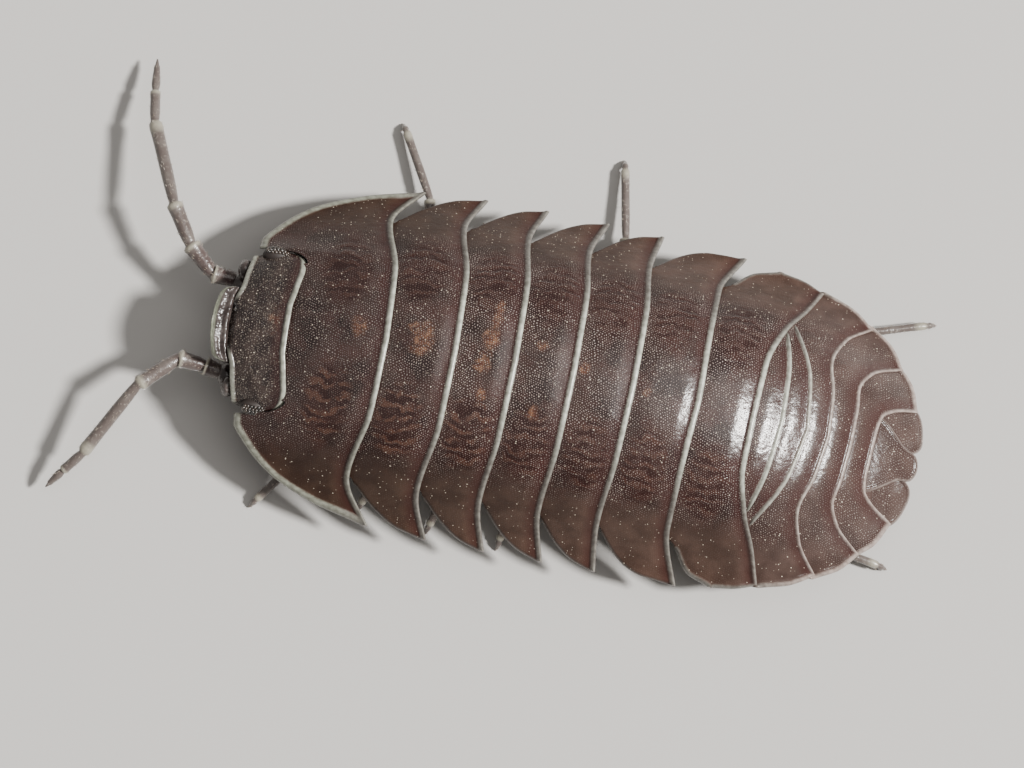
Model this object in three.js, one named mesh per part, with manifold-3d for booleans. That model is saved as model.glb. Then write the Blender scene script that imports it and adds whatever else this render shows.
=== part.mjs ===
// A pill woodlouse, life size, standing on its fourteen legs with its side plates flared.
// Millimetres, +Z up. The head faces -X, the animal's right side is +Y, the floor is Z = 0.
// Shapes are worked out on a straight body, x from the shield on the face (0) to the tail (18)
// and y out from the midline, and are then bent sideways along one slow arc, as the animal stands.

import * as THREE from 'three';
import { mergeVertices } from 'three/addons/utils/BufferGeometryUtils.js';
import Module from 'manifold-3d';

const wasm = await Module();
wasm.setup();

// How the pieces meet
const GAP = 0.3;           // air kept between neighbouring pieces
const SMALL_GAP = 0.2;     // and between the small ones of the eye and tail
const LAP = 0.35;          // how far a plate's rear lip covers the next plate's collar
const LIP = 0.28;          // thickness of a rear lip
const COLLAR = LIP + GAP;  // depth of a collar under the surface of the lip over it
const RISE_START = 0.2;    // the collar climbs to the plate between these distances
const RISE_END = 0.45;     // behind the edge of the lip
const STEP = 0.12;         // a plate's surface rises this much again towards its rear edge
const FUSED_STEP = 0.17;   // the same on the tail's plates, which are grown together
const FUSED_LAP = 0.3;
const FUSED_SINK = 0.04;   // and each one's collar lies this much under that of the one ahead

// Thicknesses and heights
const SIDE_PLATE = 0.46;   // side plates near the body
const SIDE_TIP = 0.36;     // and at their free edges
const SIDE_START = 3;      // they thin between this distance from the midline
const SIDE_LONG = 1.3;     // and this much further out
const COLLAR_THINNING = 0.45;  // share by which a side plate is thinner under the lip ahead
const BELLY_Z = 1.75;     // flat underside between the legs
const BELLY_HALF = 1.8;    // its half width
const BELLY_RISE = 0.78;   // slope of the underside from there out to the side plates
const BELL = 0.55;         // share of bell shape, over plain arch, in the cross section

// Bend of the whole body
const BEND_RADIUS = 165;
const BEND_X = 9.5;

const { clamp, lerp, smoothstep } = THREE.MathUtils;

// Curve through [input, output] pairs that never overshoots them, level beyond its ends
function through(pairs) {
  const last = pairs.length - 1;
  const chord = (i) => (pairs[i + 1][1] - pairs[i][1]) / (pairs[i + 1][0] - pairs[i][0]);
  const slope = pairs.map((pair, i) => {
    if (i === 0) return chord(0);
    if (i === last) return chord(last - 1);
    const before = chord(i - 1);
    const after = chord(i);
    return before * after > 0 ? (2 * before * after) / (before + after) : 0;
  });
  return (t) => {
    if (t <= pairs[0][0]) return pairs[0][1];
    if (t >= pairs[last][0]) return pairs[last][1];
    const i = pairs.findIndex((pair) => pair[0] > t) - 1;
    const span = pairs[i + 1][0] - pairs[i][0];
    const u = (t - pairs[i][0]) / span;
    const settled = lerp(pairs[i][1], pairs[i + 1][1], u * u * (3 - 2 * u));
    return settled + span * u * (1 - u) * ((1 - u) * slope[i] - u * slope[i + 1]);
  };
}

// The back as one arched surface: height of its ridge, its half width, height of its free edge
const ridgeHeight = through([
  [0.6, 2.75], [2.1, 3.3], [4.6, 4.2], [6.3, 4.52], [8.6, 4.65], [10.8, 4.62], [12.5, 4.45],
  [13.9, 4.15], [15.2, 3.62], [16.4, 2.88], [17.0, 2.42], [18.2, 1.5],
]);
const frontHalfWidth = through([
  [0.9, 2.1], [1.24, 2.7], [2.05, 3.39], [3.3, 3.95], [4.84, 4.3], [7, 4.4],
]);
const REAR_OVAL = { x: 13.8, length: 4.5, half: 4.12 };
const edgeHeight = through([[0.9, 1.95], [1.8, 1.62], [3.2, 1.45], [15, 1.45], [18.2, 1.2]]);
const EDGE_REACH = 1.03;

function halfWidth(x) {
  const along = clamp((x - REAR_OVAL.x) / REAR_OVAL.length, 0, 0.985);
  const rear = REAR_OVAL.half * Math.sqrt(1 - along * along);
  return lerp(frontHalfWidth(x), rear, smoothstep(x, 9, 13.8));
}

function backHeight(x, y) {
  const r = Math.min(Math.abs(y) / halfWidth(x), EDGE_REACH);
  const bell = 0.5 * (1 + Math.cos(Math.PI * Math.min(r * r, 1)));
  const edge = edgeHeight(x);
  return edge + (ridgeHeight(x) - edge) * (BELL * bell + (1 - BELL) * (1 - r * r));
}

// Upright measure of a thickness taken square to the back, which slopes down to the sides
function upright(thickness, x, y) {
  const slope = (backHeight(x, y + 0.05) - backHeight(x, y - 0.05)) / 0.1;
  return thickness * Math.hypot(1, Math.min(Math.abs(slope), 1.6));
}

function bellyHeight(y) {
  return BELLY_Z + BELLY_RISE * Math.max(0, Math.abs(y) - BELLY_HALF);
}

function bent(x, y, z) {
  const turn = (x - BEND_X) / BEND_RADIUS;
  const reach = BEND_RADIUS + y;
  return [BEND_X + reach * Math.sin(turn), reach * Math.cos(turn) - BEND_RADIUS, z];
}

// Closed surface over rings of equally many points. The end rings are closed off in the plane
// that flat gives them, which for a round ring is that of its own circle.
const round = (point, k, ring) => {
  const angle = (2 * Math.PI * k) / ring.length;
  return [Math.cos(angle), Math.sin(angle)];
};
const sideways = ([x, , z]) => [x, z];
const { area, triangulateShape } = THREE.ShapeUtils;

function endCap(ring, flat, first, start) {
  const outline = ring.map((point, k) => new THREE.Vector2(...flat(point, k, ring)));
  const turn = Math.sign(area(outline)) * (first ? 1 : -1);
  return triangulateShape(outline, []).map((face) => {
    const own = Math.sign(area(face.map((k) => outline[k])));
    return (own === turn ? face : face.reverse()).map((k) => start + k);
  });
}

function loft(rings, flat = round) {
  const sides = rings[0].length;
  const end = (rings.length - 1) * sides;
  const faces = endCap(rings[0], flat, true, 0);
  for (let a = 0; a < end; a++) {
    const b = a % sides === sides - 1 ? a + 1 - sides : a + 1;
    faces.push([a, a + sides, b + sides], [a, b + sides, b]);
  }
  faces.push(...endCap(rings[rings.length - 1], flat, false, end));
  const points = rings.flat();
  const volume = faces.reduce((sum, [i, j, k]) => {
    const corner = new THREE.Vector3(...points[i]);
    const cross = new THREE.Vector3(...points[j]).cross(new THREE.Vector3(...points[k]));
    return sum + corner.dot(cross);
  }, 0);
  const made = new THREE.BufferGeometry();
  made.setAttribute('position', new THREE.Float32BufferAttribute(points.flat(), 3));
  made.setIndex(volume > 0 ? faces.flat() : faces.map((face) => face.reverse()).flat());
  return made;
}

// Joining and cutting
function solid(geometry) {
  const bare = geometry.clone();
  bare.deleteAttribute('normal');
  bare.deleteAttribute('uv');
  const merged = mergeVertices(bare, 1e-4);
  return new wasm.Manifold(new wasm.Mesh({
    numProp: 3,
    vertProperties: merged.attributes.position.array,
    triVerts: new Uint32Array(merged.index.array),
  }));
}

function fused(geometries, cuts = []) {
  let whole = geometries.map(solid).reduce((sum, piece) => sum.add(piece));
  for (const cut of cuts) whole = whole.subtract(solid(cut));
  const [largest] = whole.decompose().sort((a, b) => b.volume() - a.volume());
  const mesh = largest.getMesh();
  const made = new THREE.BufferGeometry();
  made.setAttribute('position', new THREE.Float32BufferAttribute(mesh.vertProperties, 3));
  made.setIndex(Array.from(mesh.triVerts));
  return made;
}

// Plates of the back. margin is the rear edge as [distance from the midline, x], out to the rear
// corner; out is the free side edge from where it leaves the plate ahead to the widest point; back
// runs from the rear corner out to that widest point, where a plate narrows towards the tail.
const pereonites = [
  {
    margin: [[0, 4.6], [1.8, 4.52], [3.27, 4.18], [4.3, 4.84]],
    out: [[2.1, 1.02], [2.35, 1.04], [2.68, 1.28], [3.39, 2.08], [3.94, 3.3], [4.3, 4.7]],
  },
  {
    margin: [[0, 6.33], [1.9, 6.27], [3.4, 6.0], [4.38, 6.38]],
    out: [[3.38, 4.3], [3.9, 4.95], [4.22, 5.55], [4.38, 6.25]],
  },
  {
    margin: [[0, 7.83], [1.9, 7.78], [3.38, 7.6], [4.4, 7.9]],
    out: [[3.43, 6.09], [3.95, 6.7], [4.25, 7.22], [4.4, 7.78]],
  },
  {
    margin: [[0, 9.3], [1.9, 9.26], [3.3, 9.12], [4.38, 9.42]],
    out: [[3.44, 7.7], [3.95, 8.27], [4.23, 8.77], [4.38, 9.3]],
  },
  {
    margin: [[0, 10.8], [1.9, 10.76], [3.25, 10.64], [4.34, 10.8]],
    out: [[3.46, 9.18], [3.95, 9.72], [4.2, 10.17], [4.34, 10.68]],
  },
  {
    margin: [[0, 12.46], [1.9, 12.4], [3.05, 12.42], [4.25, 12.9]],
    out: [[3.43, 10.72], [3.95, 11.32], [4.19, 11.9], [4.25, 12.75]],
  },
  {
    margin: [[0, 13.87], [1.3, 13.9], [2.35, 14.2], [3.05, 14.6], [3.8, 14.94]],
    out: [[3.43, 12.66], [3.9, 13.1], [4.1, 13.7]],
    back: [[3.8, 14.94], [4.02, 14.35], [4.1, 13.86]],
  },
];
const pleonites = [
  { margin: [[0, 14.58], [1.2, 14.5], [2.35, 14.28]] },
  { margin: [[0, 15.25], [1.3, 15.03], [2.5, 14.5]] },
  {
    margin: [[0, 15.8], [1.1, 15.68], [1.9, 15.48], [2.6, 15.72], [3.21, 16.33]],
    back: [[3.21, 16.33], [3.6, 15.75], [3.74, 15.4]],
  },
  {
    margin: [[0, 16.4], [0.9, 16.37], [1.45, 16.3], [1.95, 16.55], [2.41, 17.29]],
    back: [[2.41, 17.29], [2.9, 16.92], [3.2, 16.4]],
  },
  {
    margin: [[0, 16.96], [0.5, 16.96], [0.95, 17.02], [1.2, 17.3], [1.45, 17.9]],
    back: [[1.45, 17.9], [2.05, 17.64], [2.4, 17.34]],
  },
];
const telsonMargin = [[0, 18.2], [0.2, 18.17], [0.33, 18.05], [0.42, 17.9], [0.6, 17.55], [0.8, 17.12]];
const exopodMargin = [[0.52, 18.14], [0.62, 18.2], [1.0, 18.16], [1.26, 18.05]];

const INNER_COLUMNS = 7;  // sections from the midline out to a plate's first corner
const OUTER_COLUMNS = 6;  // and on from each corner to the next
const SHORTEST = 0.2;     // least length of a section
const WALL = 0.05;        // width of the step between the collar and the side plate

// Distances from the midline at which a plate is sectioned, closest together near its free edge
function columnsOf(corners) {
  const found = [];
  corners.slice(1).forEach((end, part) => {
    const count = part === 0 ? INNER_COLUMNS : OUTER_COLUMNS;
    for (let i = 0; i < count; i++) {
      const share = part === 0 ? i / count : Math.sin((Math.PI / 2) * (i / count));
      found.push(lerp(corners[part], end, share));
    }
  });
  found.push(corners[corners.length - 1]);
  return found;
}

const mirrored = (distances) => [...distances.slice(1).reverse().map((y) => -y), ...distances];

// One plate with the body under it. Each section runs over the collar, the plate and its rear lip,
// then back under the lip, down the body's rear face and along the underside. cover is the edge of
// the lip that lies over the collar.
function plate({ columns, front, rear, cover, grown, collar = COLLAR, floor = bellyHeight }) {
  const rings = columns.map((side) => {
    const y = Math.abs(side);
    const x1 = rear(y);
    const x0 = Math.min(front(y), x1 - SHORTEST);
    const long = x1 - x0;
    const edge = cover(y);
    const sunk = (x) => clamp((edge + RISE_END - x) / (RISE_END - RISE_START), 0, 1);
    const top = (x) => {
      const own = (grown ? FUSED_STEP : STEP) * clamp((x1 - x) / long, 0, 1) ** 2;
      return backHeight(x, y) - Math.max(own, upright(collar, x, y) * sunk(x));
    };
    const thick = (x) => {
      const full = lerp(SIDE_PLATE, SIDE_TIP, clamp((y - SIDE_START) / SIDE_LONG, 0, 1));
      return upright(full * (1 - COLLAR_THINNING * sunk(x)), x, y);
    };
    const under = (x) => Math.min(top(x) - thick(x), floor(y));
    const lip = (x) => top(x) - upright(LIP, x, y);
    const bank = clamp(edge + RISE_START, x0 + 0.12 * long, x0 + 0.4 * long);
    const crest = clamp(edge + RISE_END, x0 + 0.25 * long, x0 + 0.6 * long);
    const wall = x1 - Math.min(LAP + GAP + 0.04, 0.45 * long);
    const centre = lerp(x0, wall, 0.5);
    return [
      ...[x0, bank, crest, lerp(crest, x1, 0.5), x1].map((x) => [x, top(x)]),
      [x1, lip(x1)], [wall + 0.03, Math.max(lip(wall), under(wall) + 0.04)],
      [wall, under(wall)], [centre, under(centre)], [x0 + 0.02, under(x0)],
    ].map(([x, z]) => bent(x, side, z));
  });
  return loft(rings, sideways);
}

const shell = new THREE.MeshStandardMaterial({ color: 0x4a3f3b, roughness: 0.42, metalness: 0 });
const limb = new THREE.MeshStandardMaterial({ color: 0x8b7f78, roughness: 0.5, metalness: 0 });
const flap = new THREE.MeshStandardMaterial({ color: 0xb9aea4, roughness: 0.6, metalness: 0 });
const lens = new THREE.MeshStandardMaterial({ color: 0x15110f, roughness: 0.2, metalness: 0 });

const group = new THREE.Group();
function add(name, geometry, material) {
  const mesh = new THREE.Mesh(geometry, material);
  mesh.name = name;
  group.add(mesh);
}

const cornerOf = (spec) => spec.margin[spec.margin.length - 1][0];
function marginOf(spec) {
  const inner = through(spec.margin);
  const outer = spec.back && through(spec.back);
  return (y) => (outer && y > cornerOf(spec) ? outer(y) : inner(y));
}

// Distances from the midline, each once, in rising order
const inOrder = (...distances) => [...new Set(distances)].sort((a, b) => a - b);

// The seven walking segments, each lapped by the one ahead. The first holds the head between two
// lobes, and its neck runs in under the head's rear rim.
const headRear = through([[0, 2.12], [1.0, 2.15], [1.6, 2.21], [1.9, 2.24]]);
const NECK_HALF = 1.1;
pereonites.forEach((spec, i) => {
  const leaves = spec.out[0][0];
  const widest = Math.max(cornerOf(spec), spec.out[spec.out.length - 1][0]);
  const free = through(spec.out);
  const collarHalf = i > 0 ? leaves : NECK_HALF;
  const breaks = [collarHalf, collarHalf + WALL, collarHalf + 2 * WALL, leaves + WALL];
  const columns = columnsOf(inOrder(0, leaves, cornerOf(spec), widest));
  const before = i > 0 ? marginOf(pereonites[i - 1]) : headRear;
  const beside = (y) => (y > leaves ? free(y) : -Infinity);
  const clear = (y) => (i > 0 || y <= leaves ? before(y) + GAP : -Infinity);
  add(`pereonite_${i + 1}`, plate({
    columns: mirrored(inOrder(...columns, ...breaks)),
    front: (y) => (y <= collarHalf ? before(y) - LAP : Math.max(beside(y), clear(y))),
    rear: marginOf(spec),
    cover: (y) => (y < collarHalf + 1.5 * WALL ? before(y) : -Infinity),
  }), shell);
});

// The tail's five segments are grown together: two narrow ones, then three with side plates. The
// last walking segment laps over their middle, and its side plates stand just clear of theirs.
const lastWalking = marginOf(pereonites[6]);
const tailMargins = pleonites.map(marginOf);
const TAIL_NECK_HALF = 2.9;
add('pleon', fused(pleonites.map((spec, i) => {
  const corner = cornerOf(spec);
  const widest = spec.back ? spec.back[spec.back.length - 1][0] : corner;
  const previous = i > 0 ? pleonites[i - 1] : pereonites[6];
  const covered = previous.back ? previous.back[previous.back.length - 1][0] : cornerOf(previous);
  const breaks = [0, WALL, 2 * WALL].map((past) => TAIL_NECK_HALF + past).filter((y) => y < widest);
  const columns = columnsOf(inOrder(0, corner, widest));
  const clear = (y) => lastWalking(y) + (y <= TAIL_NECK_HALF ? -LAP : GAP);
  const own = (y) => (i > 0 && y <= covered ? tailMargins[i - 1](y) - FUSED_LAP : -Infinity);
  return plate({
    columns: mirrored(inOrder(...columns, ...breaks)),
    front: (y) => Math.max(own(y), clear(y)),
    rear: tailMargins[i],
    cover: (y) => (y < TAIL_NECK_HALF + 1.5 * WALL ? lastWalking(y) : -Infinity),
    grown: true,
    collar: COLLAR + i * FUSED_SINK,
  });
})), shell);

// Tail shield, and the two flat end branches of the last limbs that fill the notches beside it
const lastTail = tailMargins[4];
const telsonRear = through(telsonMargin);
add('telson', plate({
  columns: mirrored(columnsOf([0, 0.42, 0.8])),
  front: (y) => lerp(lastTail(y) - LAP, telsonRear(y), smoothstep(y, 0.5, 0.8)),
  rear: telsonRear,
  cover: lastTail,
  floor: () => BELLY_Z - GAP,
}), shell);
const exopodRear = through(exopodMargin);
for (const [side, name] of [[1, 'right'], [-1, 'left']]) {
  const columns = [0.52, 0.62, 0.75, 0.9, 1.05, 1.17, 1.26];
  add(`uropod_${name}`, plate({
    columns: columns.map((y) => side * y),
    front: (y) => Math.max(telsonRear(y), lastTail(y)) + SMALL_GAP,
    rear: exopodRear,
    cover: () => -Infinity,
  }), shell);
}

// A ball stretched to three radii, centred on a station of the body
function bead(radii, [x, y, z], sides = 12) {
  const made = new THREE.SphereGeometry(1, sides, Math.round(sides * 0.7));
  made.scale(...radii);
  made.translate(...bent(x, y, z));
  return made;
}

// Head: a rounded box, bowed forward at the brow, whose rear rim overhangs the neck behind it
const headRings = [
  { x: 0.52, half: 1.25, top: 2.5, low: 1.85, bow: 0.2 },
  { x: 0.6, half: 1.62, top: 2.7, low: 1.5, bow: 0.26 },
  { x: 0.85, half: 1.8, top: 2.86, low: 1.28, bow: 0.26 },
  { x: 1.3, half: 1.88, top: 3.05, low: 1.22, bow: 0.2 },
  { x: 1.8, half: 1.88, top: 3.22, low: 1.38, bow: 0.14 },
  { x: 2.12, half: 1.8, top: 3.26, low: 1.6, bow: 0.1 },
];
const HEAD_SIDES = 28;
const HEAD_SQUARE = 0.7;
const HEAD_ARCH = 0.36;
const power = (value) => Math.sign(value) * Math.abs(value) ** HEAD_SQUARE;
const capsule = loft(headRings.map(({ x, half, top, low, bow }) => {
  return Array.from({ length: HEAD_SIDES }, (_, k) => {
    const angle = (2 * Math.PI * k) / HEAD_SIDES;
    const share = power(Math.cos(angle));
    const crown = power(Math.sin(angle));
    const z = lerp(low, top, 0.5 + 0.5 * crown) - Math.max(crown, 0) * HEAD_ARCH * share ** 2;
    return bent(x + bow * share ** 2, half * share, z);
  });
}));
// The hollow under the rear rim is as wide as the neck and rises and arches with it
const HOLLOW = { top: 2.76, slope: 0.43, arch: 0.24, end: 3 };
const underRim = loft([-1, -0.5, 0, 0.5, 1].map((share) => {
  const y = share * (NECK_HALF + GAP);
  const wall = headRear(0) - LAP - GAP;
  const top = HOLLOW.top - HOLLOW.arch * share * share;
  const rise = HOLLOW.slope * (HOLLOW.end - wall);
  return [
    [wall, 0], [wall, top], [HOLLOW.end, top + rise], [HOLLOW.end, 0],
  ].map(([x, z]) => bent(x, y, z));
}), sideways);

// The shield on the face is a three-cornered plate with its broad edge up, clear of the brow
const SHIELD = { half: 0.82, front: 0.06, back: 0.42, top: 2.72, deep: 1.1, lean: 0.3 };
const shieldColumns = [-1, -0.85, -0.5, 0, 0.5, 0.85, 1];
const shield = loft(shieldColumns.map((share) => {
  const y = share * SHIELD.half;
  const deep = SHIELD.deep * (1 - 0.72 * Math.abs(share));
  const top = SHIELD.top - 0.14 * share * share;
  const front = SHIELD.front + 0.14 * share * share;
  const foot = front + SHIELD.lean * deep;
  return [
    [front, top - 0.06], [front + 0.06, top], [SHIELD.back - 0.04, top], [SHIELD.back, top - 0.12],
    [0.85, top - 0.3], [0.85, top - deep], [foot, top - deep],
  ].map(([x, z]) => bent(x, y, z));
}), sideways);

const EYE = { x: 1.45, y: 1.84, z: 2.4, radii: [0.34, 0.17, 0.2] };
const BROW = { x: 0.82, y: 1.55, z: 2.4, radii: [0.24, 0.36, 0.24] };
const ANTENNA_SOCKET = { x: 0.52, y: 1.12, z: 1.72, radii: [0.3, 0.36, 0.32] };
const sockets = [];
const bumps = [];
for (const [side, name] of [[1, 'right'], [-1, 'left']]) {
  const socket = EYE.radii.map((radius) => radius + SMALL_GAP);
  sockets.push(bead(socket, [EYE.x, side * EYE.y, EYE.z], 14));
  bumps.push(bead(BROW.radii, [BROW.x, side * BROW.y, BROW.z]));
  bumps.push(bead(ANTENNA_SOCKET.radii, [ANTENNA_SOCKET.x, side * ANTENNA_SOCKET.y, ANTENNA_SOCKET.z]));
  add(`eye_${name}`, bead(EYE.radii, [EYE.x, side * EYE.y, EYE.z], 14), lens);
}
add('head', fused([capsule, shield, ...bumps], [...sockets, underRim]), shell);

// A tube through points whose rings are carried along its bends without twisting. A flat foot
// gets its last ring level on the floor.
const TUBE_SIDES = 7;
const SWELLING = 0.3;
const JOINT_NECK = 0.86;
const CLAW = { reach: 0.24, height: 0.27, radius: 0.13 };
function tube(points, radii, foot = false) {
  const stations = points.map((point) => new THREE.Vector3(...bent(...point)));
  const last = stations.length - 1;
  let across = new THREE.Vector3(0, 0, 1);
  const rings = stations.map((here, i) => {
    const heading = new THREE.Vector3();
    if (i > 0) heading.add(here.clone().sub(stations[i - 1]).normalize());
    if (i < last) heading.add(stations[i + 1].clone().sub(here).normalize());
    if (foot && i === last) heading.set(0, 0, -1);
    heading.normalize();
    if (i === 0 && Math.abs(heading.z) > 0.9) across.set(1, 0, 0);
    across = across.clone().addScaledVector(heading, -across.dot(heading)).normalize();
    const beside = across.clone().cross(heading);
    return Array.from({ length: TUBE_SIDES }, (_, k) => {
      const angle = (2 * Math.PI * (k + 0.5)) / TUBE_SIDES;
      const point = here.clone().addScaledVector(across, radii[i] * Math.cos(angle));
      return point.addScaledVector(beside, radii[i] * Math.sin(angle)).toArray();
    });
  });
  return loft(rings);
}

// A jointed limb: each article swells a little past its narrow joint and tapers to the next. A foot
// is a claw that ends level on the floor.
function articles(joints, radii, foot) {
  const points = [joints[0]];
  const sizes = [radii[0] * 0.9];
  joints.slice(1).forEach((joint, i) => {
    const swelling = joints[i].map((value, axis) => lerp(value, joint[axis], SWELLING));
    points.push(swelling, joint);
    sizes.push(radii[i], Math.min(radii[i], radii[i + 1]) * JOINT_NECK);
  });
  if (foot) {
    points.push(foot);
    sizes.push(CLAW.radius);
  }
  return tube(points, sizes, Boolean(foot));
}

// Feelers: five stalk articles, the fourth and fifth long, and a lash of two
const antennae = {
  right: [
    [0.06, 1.4, 1.62], [-0.26, 1.62, 1.72], [-0.5, 1.9, 1.78], [-0.84, 2.46, 1.84],
    [-1.24, 2.9, 1.82], [-1.99, 5.12, 1.1], [-2.12, 5.95, 0.82], [-2.2, 6.82, 0.55],
  ],
  left: [
    [0.02, -1.2, 1.62], [-0.26, -1.0, 1.72], [-0.62, -1.04, 1.8], [-1.2, -1.42, 1.84],
    [-1.62, -1.88, 1.8], [-2.7, -3.56, 1.1], [-3.16, -4.0, 0.8], [-3.54, -4.39, 0.5],
  ],
};
const antennaRadii = [0.27, 0.27, 0.27, 0.27, 0.27, 0.25, 0.22, 0.14];
for (const [name, joints] of Object.entries(antennae)) {
  add(`antenna_${name}`, articles(joints, antennaRadii), limb);
}

// Legs: hip under the segment, first article folded inwards to the knee, the rest out to the foot.
// edge is where the leg passes under the rim of the side plates, foot where it stands.
const legs = {
  right: [
    { x: 3.55, edge: [2.5, 2.6, 0.75], foot: [2.1, 3.0] },
    { x: 5.3, edge: [4.95, 4.3, 0.5], foot: [3.96, 6.22] },
    { x: 6.95, edge: [6.6, 3.3, 0.62], foot: [6.35, 4.05] },
    { x: 8.45, edge: [8.3, 3.3, 0.62], foot: [8.1, 4.1] },
    { x: 9.95, edge: [9.88, 4.3, 0.5], foot: [9.48, 6.33] },
    { x: 11.5, edge: [12.0, 3.2, 0.62], foot: [12.4, 3.95] },
    { x: 13.05, edge: [15.6, 3.0, 0.55], foot: [17.87, 3.96] },
  ],
  left: [
    { x: 3.55, edge: [2.6, -3.1, 0.6], foot: [1.71, -4.15] },
    { x: 5.3, edge: [4.8, -3.1, 0.62], foot: [4.45, -3.85] },
    { x: 6.95, edge: [6.6, -3.3, 0.62], foot: [6.3, -4.1] },
    { x: 8.45, edge: [8.35, -3.3, 0.62], foot: [8.2, -4.15] },
    { x: 9.95, edge: [10.2, -3.3, 0.62], foot: [10.45, -4.1] },
    { x: 11.5, edge: [12.1, -3.1, 0.62], foot: [12.6, -3.9] },
    { x: 13.05, edge: [15.8, -2.2, 0.6], foot: [18.14, -2.43] },
  ],
};
const HIP = { y: 2.25, drop: 0.28, radii: [0.32, 0.3, 0.27] };
const BELLY_TILT = Math.hypot(1, BELLY_RISE);
const KNEE = { y: 1.5, z: 0.98, turn: 0.18, radii: [0.29, 0.29, 0.27] };
const ARTICLE_ENDS = [0, 0.18, 0.38, 0.6, 1];
const legRadii = [0.27, 0.27, 0.26, 0.25, 0.2];
for (const [name, row] of Object.entries(legs)) {
  const side = name === 'right' ? 1 : -1;
  row.forEach(({ x, edge, foot }, i) => {
    const hip = [x, side * HIP.y, bellyHeight(HIP.y) - GAP * BELLY_TILT];
    const out = (HIP.drop * BELLY_RISE) / BELLY_TILT;
    const trunk = [x, hip[1] + side * out, hip[2] - HIP.drop / BELLY_TILT];
    const knee = [x + Math.sign(edge[0] - x) * KNEE.turn, side * KNEE.y, KNEE.z];
    const ankle = new THREE.Vector2(edge[0] - foot[0], edge[1] - foot[1]).setLength(CLAW.reach);
    const claw = [foot[0] + ankle.x, foot[1] + ankle.y, CLAW.height];
    const path = new THREE.CatmullRomCurve3([knee, edge, claw].map((p) => new THREE.Vector3(...p)));
    const joints = ARTICLE_ENDS.map((share) => path.getPointAt(share).toArray());
    const pieces = [
      tube([hip, trunk, knee], HIP.radii),
      articles(joints, legRadii, [...foot, 0]),
      bead(KNEE.radii, knee, 8),
    ];
    add(`leg_${name}_${i + 1}`, fused(pieces), limb);
  });
}

// Breathing flaps under the tail: five pairs of thin lobes, each lapping the next
const FLAPS = {
  pairs: 5, start: 13.95, pitch: 0.6, long: 0.85, half: 1.3, narrowing: 0.09,
  top: 1.42, thick: 0.3, drop: 0.26, rounding: 0.3, cleft: 0.14,
};
const flapColumns = [-1, -0.85, -0.5, -0.1, 0, 0.1, 0.5, 0.85, 1];
const flaps = Array.from({ length: FLAPS.pairs }, (_, i) => {
  const start = FLAPS.start + i * FLAPS.pitch;
  const half = FLAPS.half - FLAPS.narrowing * i;
  return loft(flapColumns.map((share) => {
    const y = share * half;
    const round = FLAPS.rounding * share * share;
    const notch = share === 0 ? FLAPS.cleft : 0;
    const end = start + FLAPS.long - round - notch;
    const low = FLAPS.top - FLAPS.drop;
    return [
      [start + round * 0.5, FLAPS.top], [end, low], [end, low - FLAPS.thick + notch],
      [start + round * 0.5, FLAPS.top - FLAPS.thick + notch],
    ].map(([x, z]) => bent(x, y, z));
  }), sideways);
});
add('pleopods', fused(flaps), flap);

// Mouth plates that close the head from below: two broad lobes with a groove between them
const MOUTH = { start: 0.72, end: 1.6, half: 0.62, top: 0.92, thick: 0.34, rounding: 0.16, cleft: 0.12 };
const mouthColumns = [-1, -0.8, -0.4, -0.08, 0, 0.08, 0.4, 0.8, 1];
add('mouthparts', loft(mouthColumns.map((share) => {
  const round = MOUTH.rounding * share * share;
  const groove = share === 0 ? MOUTH.cleft : 0;
  const [start, end] = [MOUTH.start + round + groove, MOUTH.end - round];
  return [
    [start, MOUTH.top], [end, MOUTH.top], [end, MOUTH.top - MOUTH.thick + groove],
    [start + 0.15, MOUTH.top - MOUTH.thick + groove],
  ].map(([x, z]) => bent(x, share * MOUTH.half, z));
}), sideways), limb);

// The frame's origin is on the floor under the middle of the whole animal
const whole = new THREE.Box3().setFromObject(group);
const middle = whole.getCenter(new THREE.Vector3());
group.position.set(-middle.x, -middle.y, -whole.min.z);

export default group;
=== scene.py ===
import math
from functools import partial, reduce

import bpy
import numpy as np
from mathutils import Matrix, Vector

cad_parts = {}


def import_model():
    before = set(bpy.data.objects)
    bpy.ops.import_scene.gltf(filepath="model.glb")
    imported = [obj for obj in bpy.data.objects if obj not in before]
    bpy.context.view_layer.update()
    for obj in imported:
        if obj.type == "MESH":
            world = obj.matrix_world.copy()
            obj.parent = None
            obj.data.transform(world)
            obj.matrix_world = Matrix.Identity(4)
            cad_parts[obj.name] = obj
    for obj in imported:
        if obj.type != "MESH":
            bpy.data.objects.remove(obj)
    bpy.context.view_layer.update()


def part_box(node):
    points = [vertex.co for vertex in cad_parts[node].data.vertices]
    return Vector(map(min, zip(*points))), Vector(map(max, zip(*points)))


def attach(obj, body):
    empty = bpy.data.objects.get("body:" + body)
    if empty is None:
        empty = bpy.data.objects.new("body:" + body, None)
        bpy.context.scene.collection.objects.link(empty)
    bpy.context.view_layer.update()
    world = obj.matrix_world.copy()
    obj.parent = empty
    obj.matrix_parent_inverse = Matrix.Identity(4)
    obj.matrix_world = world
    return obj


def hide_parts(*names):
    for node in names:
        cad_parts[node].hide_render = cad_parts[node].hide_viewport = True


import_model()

# The stance. The body curves slowly to its left, and the right eye says where the straight body
# lies in the frame, so that every piece below lands on the solid that it stands for.
MM = 0.001
BEND_RADIUS = 165.0
BEND_X = 9.5
EYE_CENTRE = (1.45, 1.84, 2.4)


def bent(points):
    x, y, z = np.moveaxis(np.asarray(points, float), -1, 0)
    turn = (x - BEND_X) / BEND_RADIUS
    reach = BEND_RADIUS + y
    return np.stack([BEND_X + reach * np.sin(turn), reach * np.cos(turn) - BEND_RADIUS, z], -1)


eye_low, eye_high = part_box("eye_right")
shift = np.array((eye_low + eye_high) / 2) / MM - bent(EYE_CENTRE)


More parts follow.
